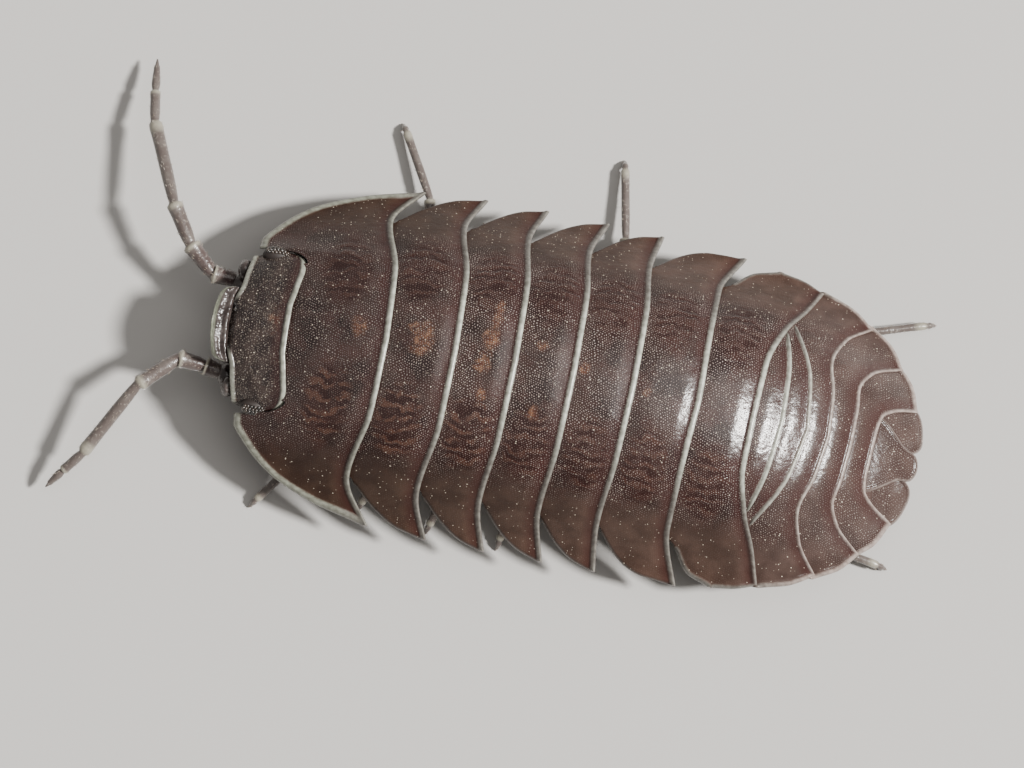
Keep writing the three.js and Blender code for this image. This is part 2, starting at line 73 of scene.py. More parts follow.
def placed(points):
    return (bent(points) + shift) * MM


# The camera looks down on the back, tipped a little to the animal's left and rolled, from far
# enough off that the long lens flattens the animal as the macro lens did.
VIEW_DISTANCE = 160.0
VIEW_TILT = math.radians(9.0)
VIEW_ROLL = math.radians(11.5)
LENS, SENSOR_WIDTH, NEAREST = 225.0, 36, 0.001
AIM = (9.1, 0.0, 2.2)
AIM_OFF_CENTRE = (1.325, -0.025)

back = Vector((0, -math.sin(VIEW_TILT), math.cos(VIEW_TILT)))
level_right = Vector((1, 0, 0))
level_up = back.cross(level_right)
right = level_right * math.cos(VIEW_ROLL) + level_up * math.sin(VIEW_ROLL)
up = back.cross(right)
aim = Vector(np.array(AIM) + shift)
stand_off = back * VIEW_DISTANCE - right * AIM_OFF_CENTRE[0] - up * AIM_OFF_CENTRE[1]
camera_data = bpy.data.cameras.new("camera")
camera_data.lens = LENS
camera_data.sensor_width = SENSOR_WIDTH
camera_data.clip_start = NEAREST
camera = bpy.data.objects.new("camera", camera_data)
camera.rotation_mode = "QUATERNION"
camera.rotation_quaternion = Matrix((right, up, back)).transposed().to_quaternion()
camera.location = (aim + stand_off) * MM
bpy.context.scene.collection.objects.link(camera)
bpy.context.scene.camera = camera


# The arch of the back. Seen from the side the ridge rises from the brow, runs level over the middle
# and falls to the tail; across the body it is a bell that flares out into the side plates.
def through(pairs):
    """Curve through (input, output) pairs that never overshoots them, level beyond its ends."""
    at, value = np.array(pairs, float).T
    chord = np.diff(value) / np.diff(at)
    slope = np.zeros(len(at))
    slope[0], slope[-1] = chord[0], chord[-1]
    before, after = chord[:-1], chord[1:]
    turns = before * after <= 0
    slope[1:-1] = np.where(turns, 0, 2 * before * after / np.where(turns, 1, before + after))

    def curve(t):
        t = np.clip(t, at[0], at[-1])
        i = np.clip(np.searchsorted(at, t, side="right") - 1, 0, len(chord) - 1)
        span = at[i + 1] - at[i]
        u = (t - at[i]) / span
        settled = value[i] + (value[i + 1] - value[i]) * u * u * (3 - 2 * u)
        return settled + span * u * (1 - u) * ((1 - u) * slope[i] - u * slope[i + 1])

    return curve


def smooth(value, low, high):
    u = np.clip((value - low) / (high - low), 0, 1)
    return u * u * (3 - 2 * u)


BELL = 0.55
EDGE_REACH = 1.03
STEEPEST, SLOPE_REACH = 1.6, 0.05
REAR_BLEND_X, REAR_OVAL_X, REAR_OVAL_LONG, REAR_OVAL_HALF = 9, 13.8, 4.5, 4.12
REAR_OVAL_END = 0.985
ridge_height = through([
    (0.6, 2.75), (2.1, 3.3), (4.6, 4.2), (6.3, 4.52), (8.6, 4.65), (10.8, 4.62), (12.5, 4.45),
    (13.9, 4.15), (15.2, 3.62), (16.4, 2.88), (17.0, 2.42), (18.2, 1.5),
])
front_half_width = through([
    (0.9, 2.1), (1.24, 2.7), (2.05, 3.39), (3.3, 3.95), (4.84, 4.3), (7, 4.4),
])
edge_height = through([(0.9, 1.95), (1.8, 1.62), (3.2, 1.45), (15, 1.45), (18.2, 1.2)])


def half_width(x):
    along = np.clip((x - REAR_OVAL_X) / REAR_OVAL_LONG, 0, REAR_OVAL_END)
    rear = REAR_OVAL_HALF * np.sqrt(1 - along * along)
    share = smooth(x, REAR_BLEND_X, REAR_OVAL_X)
    return front_half_width(x) * (1 - share) + rear * share


def back_height(x, y):
    r = np.minimum(np.abs(y) / half_width(x), EDGE_REACH)
    bell = 0.5 * (1 + np.cos(np.pi * np.minimum(r * r, 1)))
    edge = edge_height(x)
    return edge + (ridge_height(x) - edge) * (BELL * bell + (1 - BELL) * (1 - r * r))


def upright(thickness, x, y):
    """Upright measure of a thickness taken square to the back."""
    slope = (back_height(x, y + SLOPE_REACH) - back_height(x, y - SLOPE_REACH)) / (2 * SLOPE_REACH)
    return thickness * np.hypot(1, np.minimum(np.abs(slope), STEEPEST))


# Shell finish. Cuticle stiffened with lime: dark purple-brown, set with fine pale grains over the
# back, marked with reddish wavy muscle scars on each side, and edged with smooth pale rims.
class Nodes:
    """A node tree, with one short way to add a node and to link or set its inputs."""

    def __init__(self, tree):
        self.tree = tree

    def add(self, kind, inputs=(), **settings):
        node = self.tree.nodes.new(kind)
        for key, value in settings.items():
            setattr(node, key, value)
        for key, value in dict(inputs).items():
            socket = node.inputs[key]
            if isinstance(value, bpy.types.NodeSocket):
                self.tree.links.new(value, socket)
            else:
                socket.default_value = (*value, 1) if socket.type == "RGBA" else value
        return node


class Finish(Nodes):
    """A new material, worked out from noise and from the marks that a piece carries."""

    def __init__(self, name):
        self.material = bpy.data.materials.new(name)
        self.material.use_nodes = True
        super().__init__(self.material.node_tree)
        self.tree.nodes.clear()

    def calc(self, operation, *values):
        return self.add("ShaderNodeMath", dict(enumerate(values)), operation=operation).outputs[0]

    def product(self, *values):
        return reduce(partial(self.calc, "MULTIPLY"), values)

    def total(self, *values):
        return reduce(partial(self.calc, "ADD"), values)

    def step(self, value, low, high):
        """0 below low and 1 above high, smoothly, or the other way round where low > high."""
        ends = (low, high, 0, 1) if low < high else (high, low, 1, 0)
        inputs = dict(zip(("Value", "From Min", "From Max", "To Min", "To Max"), (value, *ends)))
        return self.add("ShaderNodeMapRange", inputs, interpolation_type="SMOOTHSTEP").outputs[0]

    def mix(self, share, first, second):
        return self.add("ShaderNodeMix", {0: share, 6: first, 7: second}, data_type="RGBA").outputs[2]

    def mark(self, name, socket="Fac"):
        return self.add("ShaderNodeAttribute", attribute_name=name).outputs[socket]

    def place(self):
        return self.add("ShaderNodeTexCoord").outputs["Object"]

    def noise(self, at, scale, detail, rough=0.5):
        inputs = {"Vector": at, "Scale": scale, "Detail": detail, "Roughness": rough}
        return self.add("ShaderNodeTexNoise", inputs).outputs[0]

    def done(self, colour, roughness, relief=None, gloss=()):
        """The material, its relief given as height, depth and strength, its gloss by socket."""
        inputs = {"Base Color": colour, "Roughness": roughness, **dict(gloss)}
        if relief:
            bump = self.add("ShaderNodeBump", dict(zip(("Height", "Distance", "Strength"), relief)))
            inputs["Normal"] = bump.outputs[0]
        body = self.add("ShaderNodeBsdfPrincipled", inputs)
        self.add("ShaderNodeOutputMaterial", {"Surface": body.outputs[0]})
        return self.material


GRAIN_PITCH, GRAIN_TURN = 0.066, 10


def shell_finish():
    kit = Finish("plate_cuticle")
    add, calc, step, mix, mark = kit.add, kit.calc, kit.step, kit.mix, kit.mark
    product, total = kit.product, kit.total
    lie = mark("lie", "Vector")
    lie_x, lie_y, _ = add("ShaderNodeSeparateXYZ", {"Vector": lie}).outputs
    noise = partial(kit.noise, lie)
    rear, side, side_rim = mark("rear"), mark("side"), mark("side_rim")
    flank, under, spot, hood = mark("flank"), mark("under"), mark("spot"), mark("hood")
    scar, arc = mark("scar"), mark("arc")

    def at_least(low, share):
        return total(product(share, 1 - low), low)

    def rest(share):
        """What a share leaves of the whole."""
        return calc("SUBTRACT", 1.0, share)

    def around(middle, value):
        """A noise value, turned into one that swings evenly about nought, by up to middle."""
        return product(calc("SUBTRACT", value, 0.5), 2 * middle)

    # Muscle scars: stacked wavy arcs, tan where they are raised, bare and dark red between
    sway = total(around(0.7, noise(1.3, 2)), around(0.7, noise(3.2, 2)))
    rows = calc("SINE", product(total(arc, sway), 2 * math.pi))
    broken = product(step(noise(3.0, 2), 0.36, 0.54), scar)
    ridge = product(step(rows, -0.1, 0.9), broken)
    furrow = product(step(rows, 0.2, -0.8), broken)

    # Grains: raised dots where three sets of waves cross, set a little askew, palest on the crown
    # and nearly gone on the side plates
    elsewhere = add("ShaderNodeVectorMath", {0: lie, 1: (7.0, 3.0, 5.0)}, operation="ADD").outputs[0]
    askew_x = total(lie_x, around(0.1, noise(3.2, 2)))
    askew_y = total(lie_y, around(0.1, kit.noise(elsewhere, 3.3, 2)))
    wave = 4 * math.pi / (math.sqrt(3) * GRAIN_PITCH)
    waves = []
    for turn in (math.radians(60 * k + GRAIN_TURN) for k in range(3)):
        across_waves = product(askew_x, wave * math.cos(turn)), product(askew_y, wave * math.sin(turn))
        waves.append(calc("COSINE", total(*across_waves)))
    uneven = noise(16.0, 1)
    dots = step(total(*waves, around(1.7, uneven)), 1.25, 2.9)
    frayed = total(flank, around(0.35, noise(1.2, 4)))
    clear_of_scars = rest(total(product(scar, 0.35), product(furrow, 0.4)))
    grains = product(dots, at_least(0.08, step(frayed, 0.75, 0.0)), clear_of_scars)
    tail = step(lie_x, 13.4, 15.6)
    faint = rest(product(calc("MAXIMUM", tail, hood), 0.5))
    behind_neck = at_least(0.55, step(lie_x, 3.5, 7.0))
    patchy = product(at_least(0.4, step(noise(1.3, 3), 0.32, 0.66)), at_least(0.5, uneven))
    grain_pale = product(grains, faint, behind_neck, patchy)

    # Flecks: single paler grains and grit, each cell of a loose net holding one or none
    def flecks(cells, size, kept):
        net = add("ShaderNodeTexVoronoi", {"Vector": lie, "Scale": cells}, voronoi_dimensions="2D").outputs
        rare = add("ShaderNodeSeparateColor", {"Color": net["Color"]}).outputs[0]
        scattered = total(rare, product(hood, 0.1), product(noise(0.8, 3), -0.35))
        return product(step(net["Distance"], size, size / 2), step(scattered, kept, kept + 0.05))

    fleck = calc("MAXIMUM", flecks(6.0, 0.11, 0.73), product(flecks(9.5, 0.13, 0.68), 0.6))
    fleck = calc("MAXIMUM", fleck, product(flecks(17.0, 0.24, 0.5), hood, 0.28))

    # Ground: darkest on the crown and towards the head, warmer on the side plates, greyer on the tail
    ground = mix(step(noise(0.9, 4), 0.36, 0.64), (0.021, 0.0125, 0.0115), (0.043, 0.025, 0.022))
    ground = mix(product(step(noise(1.7, 3), 0.46, 0.66), 0.4), ground, (0.052, 0.021, 0.018))
    cloudy = step(noise(1.6, 4), 0.35, 0.65)
    front_flanks = mix(cloudy, (0.033, 0.0185, 0.0135), (0.05, 0.029, 0.0205))
    rear_flanks = mix(cloudy, (0.05, 0.029, 0.022), (0.074, 0.044, 0.034))
    flanks = mix(step(lie_x, 2.5, 13.0), front_flanks, rear_flanks)
    colour = mix(step(flank, 0.0, 1.0), ground, flanks)
    colour = mix(product(tail, 0.7), colour, mix(cloudy, (0.05, 0.032, 0.028), (0.078, 0.052, 0.045)))
    grey = mix(step(noise(2.2, 4), 0.4, 0.62), (0.016, 0.0115, 0.011), (0.038, 0.027, 0.0235))
    colour = mix(product(hood, 0.85), colour, grey)

    # Scars, tannest on the left and in front, then the worn tan spots, the grains and the flecks
    tan_side = at_least(0.3, step(total(lie_y, around(1.0, noise(0.7, 2))), 0.4, -0.6))
    tan_side = product(tan_side, at_least(0.4, step(lie_x, 9.5, 5.5)))
    colour = mix(product(scar, 0.55), colour, (0.032, 0.0105, 0.0085))
    colour = mix(product(ridge, tan_side, 0.36), colour, (0.14, 0.066, 0.042))
    colour = mix(product(furrow, 0.5), colour, (0.016, 0.005, 0.0045))
    ragged = total(spot, around(0.7, noise(4.0, 4)))
    tan = mix(step(noise(9.0, 2), 0.35, 0.65), (0.085, 0.03, 0.019), (0.22, 0.11, 0.062))
    worn_off = at_least(0.3, step(noise(7.0, 3), 0.4, 0.58))
    colour = mix(product(step(ragged, 0.2, 1.0), worn_off, 0.75), colour, tan)
    colour = mix(grain_pale, colour, (0.52, 0.43, 0.39))
    colour = mix(product(fleck, 0.85), colour, (0.78, 0.69, 0.56))

    # Rims: painted shade runs red-brown in the groove in front of each one; the rim itself is pale,
    # most of all on the crown, where a painted highlight whitens it
    colour = mix(product(step(rear, 0.5, 0.18), 0.55), colour, (0.038, 0.012, 0.011))
    rim_wave = total(around(0.02, noise(9.0, 2)), product(tail, 0.05))
    rear_rim = step(total(rear, rim_wave), 0.165, 0.075)
    edge_gap = calc("SUBTRACT", total(side, rim_wave), side_rim)
    rim = calc("MAXIMUM", rear_rim, step(edge_gap, 0.02, -0.09))
    worn = step(noise(6.0, 3), 0.3, 0.7)
    pale = mix(worn, (0.1, 0.09, 0.08), (0.18, 0.17, 0.15))
    pale = mix(step(lie_x, 5.2, 3.2), pale, mix(worn, (0.16, 0.16, 0.13), (0.28, 0.29, 0.235)))
    # Painted highlight: the rims are whitened along the crown, where the light glints on them, less so on the
    # head
    crown = mix(worn, (0.31, 0.32, 0.27), (0.58, 0.6, 0.52))
    out = calc("ABSOLUTE", lie_y, 0.0)
    pale = mix(product(step(out, 3.0, 0.8), rest(product(hood, 0.6))), pale, crown)
    cream = mix(worn, (0.22, 0.17, 0.15), (0.36, 0.3, 0.27))
    colour = mix(rim, colour, mix(step(lie_x, 14.4, 16.0), pale, cream))
    colour = mix(under, colour, (0.11, 0.08, 0.066))

    # Relief: grains, fine pits, the scars' folds, and broad shallow dents that break up the sheen
    dents = product(noise(2.4, 3), total(product(hood, 2.0), 1.6))
    height = total(
        product(grains, rest(rim), 0.6), product(noise(9.0, 4, 0.6), 0.7),
        product(calc("SUBTRACT", ridge, furrow), 0.3), dents,
    )
    rough = total(at_least(0.16, product(noise(4.0, 3), 0.16)), product(flank, 0.16))
    calm = calc("MAXIMUM", step(out, 1.6, 3.0), product(step(lie_x, 15.2, 16.6), 0.6))
    gloss = total(product(calm, -0.54), product(rim, 0.2), 0.64)
    return kit.done(colour, rough, (height, 0.000013, 1.0), {"Specular IOR Level": gloss})


shell = shell_finish()


# Back plates of the seven walking segments. Each is a thin arched plate whose side plates flare
# out to free tips; its rear rim laps over the collar of the plate behind, like shingles on a roof.
CREST = 0.16
PLATE_THICK, EDGE_RADIUS, SKIN = 0.13, 0.07, 0.002
TIP_FROM, TIP_LONG, TIP_THICKER = 3.2, 1.2, 0.06
LAP = 0.35
RIM_WIDE, RIM_RAISE, SIDE_RIM = 0.16, 0.034, 0.03
GROOVE_DEEP, GROOVE_WIDE = 0.05, 0.55
BAY_INWARD, BAY_OUTWARD = 0.35, 0.2
TUCK = 0.4
COLUMNS, COLUMN_CROWDING = 170, 0.92
ROWS, ROW_CROWDING = 48, 0.75
FLANK_FROM, FLANK_TO = 2.1, 4.5
SCAR_PLACE, SCAR_HALF = (0.66, 2.05), (0.58, 1.0)
SCAR_PITCH, SCAR_BULGE = 0.31, 0.12
EDGE_STEPS, ARC_STEPS = 160, 400
ARC_AHEAD, ARC_BEYOND = 0.5, 1.02
LEAST_LONG, SIDE_START = 0.03, 0.02
# Farther off than any rim or shade reaches
FAR = 9.0

# Each plate has its rear margin and the free line of its side plates, both as distance out and
# place along, and tan spots near the midline, as place along, distance out and half sizes
pereonites = [
    dict(margin=[(0, 4.6), (1.8, 4.52), (3.27, 4.18), (4.3, 4.84)],
         out=[(2.1, 1.02), (2.35, 1.04), (2.68, 1.28), (3.39, 2.08), (3.94, 3.3), (4.3, 4.7)],
         side_rim=0.2, bay=1.9, scar=(1.1, 1.75), spots=[(3.82, 0.24, 0.2, 0.26)]),
    dict(margin=[(0, 6.33), (1.9, 6.27), (3.4, 6.0), (4.38, 6.38)],
         out=[(3.38, 4.3), (3.9, 4.95), (4.22, 5.55), (4.38, 6.25)],
         spots=[(5.42, 0.13, 0.27, 0.46), (5.2, 0.42, 0.2, 0.1)]),
    dict(margin=[(0, 7.83), (1.9, 7.78), (3.38, 7.6), (4.4, 7.9)],
         out=[(3.43, 6.09), (3.95, 6.7), (4.25, 7.22), (4.4, 7.78)],
         spots=[(7.08, 0.4, 0.22, 0.3), (7.17, 1.05, 0.12, 0.34), (6.98, -0.2, 0.22, 0.28),
                (7.08, -1.0, 0.13, 0.2)]),
    dict(margin=[(0, 9.3), (1.9, 9.26), (3.3, 9.12), (4.38, 9.42)],
         out=[(3.44, 7.7), (3.95, 8.27), (4.23, 8.77), (4.38, 9.3)],
         spots=[(8.36, 0.47, 0.15, 0.14), (8.44, -1.21, 0.13, 0.2)]),
    dict(margin=[(0, 10.8), (1.9, 10.76), (3.25, 10.64), (4.34, 10.8)],
         out=[(3.46, 9.18), (3.95, 9.72), (4.2, 10.17), (4.34, 10.68)],
         spots=[(9.48, 0.13, 0.13, 0.16)]),
    dict(margin=[(0, 12.46), (1.9, 12.4), (3.05, 12.42), (4.25, 12.9)],
         out=[(3.43, 10.72), (3.95, 11.32), (4.19, 11.9), (4.25, 12.75)],
         spots=[(11.11, -0.14, 0.12, 0.12)]),
    dict(margin=[(0, 13.87), (1.3, 13.9), (2.35, 14.2), (3.05, 14.6), (3.8, 14.94)],
         out=[(3.43, 12.66), (3.9, 13.1), (4.1, 13.7)], side_rim=0.12,
         back=[(3.8, 14.94), (4.02, 14.35), (4.1, 13.86)]),
]


def margin_of(spec):
    """The rear edge, out over the rear corner and on to the widest point."""
    inner = through(spec["margin"])
    if "back" not in spec:
        return inner
    corner, outer = spec["margin"][-1][0], through(spec["back"])
    return lambda y: np.where(y > corner, outer(y), inner(y))


def distance(points, line):
    """Distance of each point, in plan, from a line of points."""
    start, span = line[:-1], np.diff(line, axis=0)
    long = np.maximum((span ** 2).sum(-1), 1e-12)
    reach = points[:, None] - start
    along = np.clip((reach * span).sum(-1) / long, 0, 1)
    return np.sqrt(((reach - along[..., None] * span) ** 2).sum(-1)).min(1)


def sheet_faces(columns, rows):
    """Faces of a closed thin sheet: an upper grid of points, then a lower one, joined all round."""
    index = np.arange(columns * rows).reshape(columns, rows)
    count = columns * rows
    a, b, c, d = index[:-1, :-1], index[1:, :-1], index[1:, 1:], index[:-1, 1:]
    over = np.stack([a, d, c, b], -1).reshape(-1, 4)
    below = np.stack([a, b, c, d], -1).reshape(-1, 4) + count
    round_edge = np.concatenate([index[:, 0], index[-1, 1:], index[-2::-1, -1], index[0, -2:0:-1]])
    following = np.roll(round_edge, -1)
    wall = np.stack([round_edge, following, following + count, round_edge + count], -1)
    return np.concatenate([over, below, wall])


def outward(points, faces):
    """The faces, turned round if they enclose the points inside out."""
    a, b, c, d = (points[faces[:, i]] for i in range(4))
    volume = np.einsum("ij,ij->", a, np.cross(b, c)) + np.einsum("ij,ij->", a, np.cross(c, d))
    return faces if volume > 0 else faces[:, ::-1]


def make_piece(name, points, faces, finish, marks=()):
    """A mesh object from straight-body points in millimetres, with its marks as attributes."""
    points = placed(points)
    mesh = bpy.data.meshes.new(name)
    mesh.from_pydata(points, [], outward(points, np.asarray(faces)).tolist())
    for key, values in dict(marks).items():
        values = np.asarray(values, np.float32)
        kind, field = ("FLOAT_VECTOR", "vector") if values.ndim == 2 else ("FLOAT", "value")
        mesh.attributes.new(key, kind, "POINT").data.foreach_set(field, values.ravel())
    mesh.polygons.foreach_set("use_smooth", [True] * len(mesh.polygons))
    mesh.materials.append(finish)
    piece = bpy.data.objects.new(name, mesh)
    bpy.context.scene.collection.objects.link(piece)
    return piece


def spread(count, crowding):
    """Shares from 0 to 1, crowded closer together towards both ends."""
    even = np.linspace(0, 1, count)
    return even * (1 - crowding) + crowding * 0.5 * (1 - np.cos(np.pi * even))


def arc_across(x, widest):
    """Distance from the ridge, measured over the arch at x, for each distance from the midline."""
    y = np.linspace(0, widest, ARC_STEPS)
    z = back_height(x, y)
    arc = np.concatenate([[0], np.cumsum(np.hypot(np.diff(y), np.diff(z)))])
    return lambda distance_out: np.interp(distance_out, y, arc)


def bead(inward, width):
    """Height of a half-round rim of that width, at each distance in from the edge: 1 along its middle."""
    return np.sqrt(np.clip(1 - (2 * inward / width - 1) ** 2, 0, 1))


def edge_round(inward, radius):
    """Share of the full thickness at each distance in from an edge rounded to that radius."""
    return np.sqrt(1 - (1 - np.clip(inward / radius, 0, 1)) ** 2)


def plate(name, spec, before, front, side_rim, rim=(RIM_WIDE, RIM_RAISE), crest=CREST, bay=0.0,
          scar=(0.0, 0.0), spots=()):
    """One plate, from its rear margin, the lip ahead and its own front line. A bay is left level
    for the head; a scar is given by its middle along and its distance out, for both sides."""
    margin = margin_of(spec)
    corner = spec["margin"][-1][0]
    free_line = spec.get("out", [])
    widest = max(pair[0] for pair in [*spec["margin"], *free_line, *spec.get("back", [])])
    y = (2 * spread(COLUMNS, COLUMN_CROWDING) - 1) * widest
    out = np.abs(y)
    x1 = margin(out)
    x0 = np.minimum(front(out), x1 - LEAST_LONG)
    x = x0[:, None] + (x1 - x0)[:, None] * spread(ROWS, ROW_CROWDING)
    across = np.broadcast_to(y[:, None], x.shape)
    arc = arc_across(margin(0.0) - ARC_AHEAD, widest * ARC_BEYOND)
    lie = np.stack([x, np.sign(across) * arc(np.abs(across)), np.zeros_like(x)], -1).reshape(-1, 3)

    # Distances from the rear rim and from the free front and side edges, measured on the plate
    def edge_line(curve, start, end):
        reach = np.linspace(start, end, EDGE_STEPS)
        return np.stack([curve(reach), arc(reach)], -1)

    flat = np.stack([lie[:, 0], np.abs(lie[:, 1])], -1)
    rear = distance(flat, edge_line(margin, 0, corner))
    side = np.full(len(flat), FAR)
    if free_line:
        side = distance(flat, edge_line(front, free_line[0][0] + SIDE_START, widest))
    if "back" in spec:
        side = np.minimum(side, distance(flat, edge_line(margin, corner, widest)))
    edge = np.minimum(rear, side).reshape(x.shape)
    rear_grid = rear.reshape(x.shape)

    # Height: down under the lip ahead at the front, up to the back's own arch at the rear
    lip = before(out)[:, None]
    visible = np.maximum(x1[:, None] - lip, LAP)
    risen = np.clip((x - lip) / visible, 0, 1)
    depth = crest * (1 - risen) ** 2
    if bay:
        depth = depth * (1 - smooth(np.abs(across), bay - BAY_INWARD, bay + BAY_OUTWARD))
    rim_wide, rim_raise = rim
    groove = smooth(rear_grid, GROOVE_WIDE, rim_wide) * smooth(rear_grid, 0, rim_wide)
    depth = depth + GROOVE_DEEP * groove
    crown = back_height(x, across) - upright(depth, x, across)
    lift = rim_raise * bead(rear_grid, rim_wide)
    if free_line or "back" in spec:
        side_lift = rim_raise * side_rim / rim_wide
        lift = np.maximum(lift, side_lift * bead(side.reshape(x.shape), side_rim))
    tip = np.clip((np.abs(across) - TIP_FROM) / TIP_LONG, 0, 1)
    thick = upright(PLATE_THICK + TIP_THICKER * tip, x, across)
    rounding = edge_round(edge, EDGE_RADIUS)
    middle = crown - thick / 2
    over = middle + (thick / 2 + lift) * rounding + SKIN
    below = middle - thick / 2 * rounding - SKIN
    points = np.concatenate([
        np.stack([x, across, over], -1).reshape(-1, 3),
        np.stack([x, across, below], -1).reshape(-1, 3),
    ])

    def patch(places, fade):
        """Ovals given by middle and half sizes: 1 inside, fading out over their edge."""
        found = np.zeros(len(flat))
        for cx, cy, half_x, half_y in places:
            reach = np.hypot((lie[:, 0] - cx) / half_x, (lie[:, 1] - cy) / half_y)
            found = np.maximum(found, smooth(reach, 1 + fade, 1 - fade))
        return found

    scar_x, scar_out = scar
    scar_ovals = [(scar_x, way * scar_out, *SCAR_HALF) for way in (1, -1)] if scar_out else []
    from_middle = (lie[:, 0] - scar_x) / SCAR_HALF[0]
    marks = dict(
        lie=lie, rear=rear, side=side,
        side_rim=np.full(len(flat), side_rim),
        flank=smooth(np.abs(lie[:, 1]), FLANK_FROM, FLANK_TO),
        scar=patch(scar_ovals, 0.25),
        arc=(np.abs(lie[:, 1]) + SCAR_BULGE * from_middle ** 2) / SCAR_PITCH,
        spot=patch(spots, 0.7),
        under=np.zeros(len(flat)),
    )
    marks = {key: np.concatenate([value, value]) for key, value in marks.items()}
    marks["under"][len(flat):] = 1
    return make_piece(name, points, sheet_faces(COLUMNS, ROWS), shell, marks)


head_rear = through([(0, 2.07), (0.55, 2.08), (0.9, 2.14), (1.2, 2.19), (1.6, 2.25), (1.9, 2.2)])
# The first plate's bay follows the rounded rear corners of the head, a hair's breadth off
BAY_CORNER = 1.7
bay_edge = through([(1.7, 2.29), (1.82, 2.27), (1.92, 2.19), (2.0, 2.05), (2.06, 1.85), (2.1, 1.6)])
for number, spec in enumerate(pereonites, 1):
    free = through(spec["out"])
    leaves = spec["out"][0][0]
    before = margin_of(pereonites[number - 2]) if number > 1 else head_rear

    def front(y, free=free, before=before, leaves=leaves, first=number == 1):
        lapped = before(y) - LAP
        if first:
            lapped = np.where(y > BAY_CORNER, bay_edge(y), lapped)
            return np.where(y > leaves, free(y), lapped)
        coming_out = smooth(y, leaves - TUCK, leaves)
        return lapped + (free(y) - lapped) * coming_out

    scar_behind, scar_out = spec.get("scar", SCAR_PLACE)
    piece = plate(
        f"back_plate_{number}", spec, before, front,
        side_rim=spec.get("side_rim", SIDE_RIM),
        bay=spec.get("bay", 0.0),
        scar=(float(before(2.0)) + scar_behind, scar_out),
        spots=spec.get("spots", []),
    )
    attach(piece, "root")
    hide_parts(f"pereonite_{number}")

# The tail's five plates: two narrow ones that show only as crescents, then three with side plates.
TAIL_RIM, TAIL_SIDE_RIM, TAIL_CREST = (0.1, 0.018), 0.18, 0.08
pleonites = [
    dict(margin=[(0, 14.58), (1.2, 14.5), (2.35, 14.22), (2.7, 14.0)]),
    dict(margin=[(0, 15.25), (1.3, 15.03), (2.5, 14.44), (2.8, 14.2)]),
    dict(margin=[(0, 15.8), (1.1, 15.68), (1.9, 15.48), (2.6, 15.72), (3.21, 16.33)],
         back=[(3.21, 16.33), (3.6, 15.75), (3.84, 15.02)]),
    dict(margin=[(0, 16.4), (0.9, 16.37), (1.45, 16.3), (1.95, 16.55), (2.41, 17.29)],
         back=[(2.41, 17.29), (2.9, 16.92), (3.3, 16.3)]),
    dict(margin=[(0, 16.96), (0.5, 16.96), (0.95, 17.02), (1.2, 17.3), (1.45, 17.9)],
         back=[(1.45, 17.9), (2.05, 17.64), (2.5, 17.2)]),
]
for number, spec in enumerate(pleonites, 1):
    ahead = [margin_of(pereonites[-1]), *[margin_of(other) for other in pleonites[:number - 1][-1:]]]

    def before(y, ahead=ahead):
        return np.max([margin(y) for margin in ahead], axis=0)

    def front(y, before=before):
        return before(y) - LAP

    piece = plate(
        f"tail_plate_{number}", spec, before, front, TAIL_SIDE_RIM, rim=TAIL_RIM, crest=TAIL_CREST,
    )
    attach(piece, "root")
    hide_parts("pleon")


# Tail shield and the end branches of the last limbs. The shield is a blunt wedge in the middle of
# the tail's edge; two small rounded plates beside it fill the notches under the last tail plate.
def rounded(corners, count):
    """Closed smooth outline through corner points, as a Catmull-Rom curve."""
    corners = np.asarray(corners, float)
    at = np.linspace(0, len(corners), count, endpoint=False)
    i, u = at.astype(int), (at % 1)[:, None]
    p0, p1, p2, p3 = (corners[(i + k) % len(corners)] for k in (-1, 0, 1, 2))
    bend_in = 2 * p0 - 5 * p1 + 4 * p2 - p3
    bend_out = 3 * (p1 - p2) + p3 - p0
    return 0.5 * (2 * p1 + (p2 - p0) * u + bend_in * u ** 2 + bend_out * u ** 3)


def tube_faces(rings, sides):
    """Faces of a closed tube of rings, whose two ends are closed by strips across them."""
    index = np.arange(rings * sides).reshape(rings, sides)
    a, b = index[:-1], index[1:]
    wall = np.stack([a, np.roll(a, -1, 1), np.roll(b, -1, 1), b], -1).reshape(-1, 4)
    across = np.arange(sides // 2 - 1)
    strips = np.stack([across, across + 1, sides - 2 - across, sides - 1 - across], -1)
    return np.concatenate([wall, index[0][strips][:, ::-1], index[-1][strips]])


def shell_marks(flat, **given):
    """The marks that the shell finish reads, plain where none is given."""
    count = len(flat)
    plain = dict.fromkeys(("side_rim", "flank", "scar", "arc", "spot", "hood", "under"), 0.0)
    values = {**plain, "rear": FAR, "side": FAR, **given}
    marks = {key: np.broadcast_to(np.ravel(value), (count,)) for key, value in values.items()}
    return {**marks, "lie": flat}


LOBE_RINGS, LOBE_SIDES = 30, 120
LOBE_RIM, LOBE_RIM_RISE = 0.1, 0.25


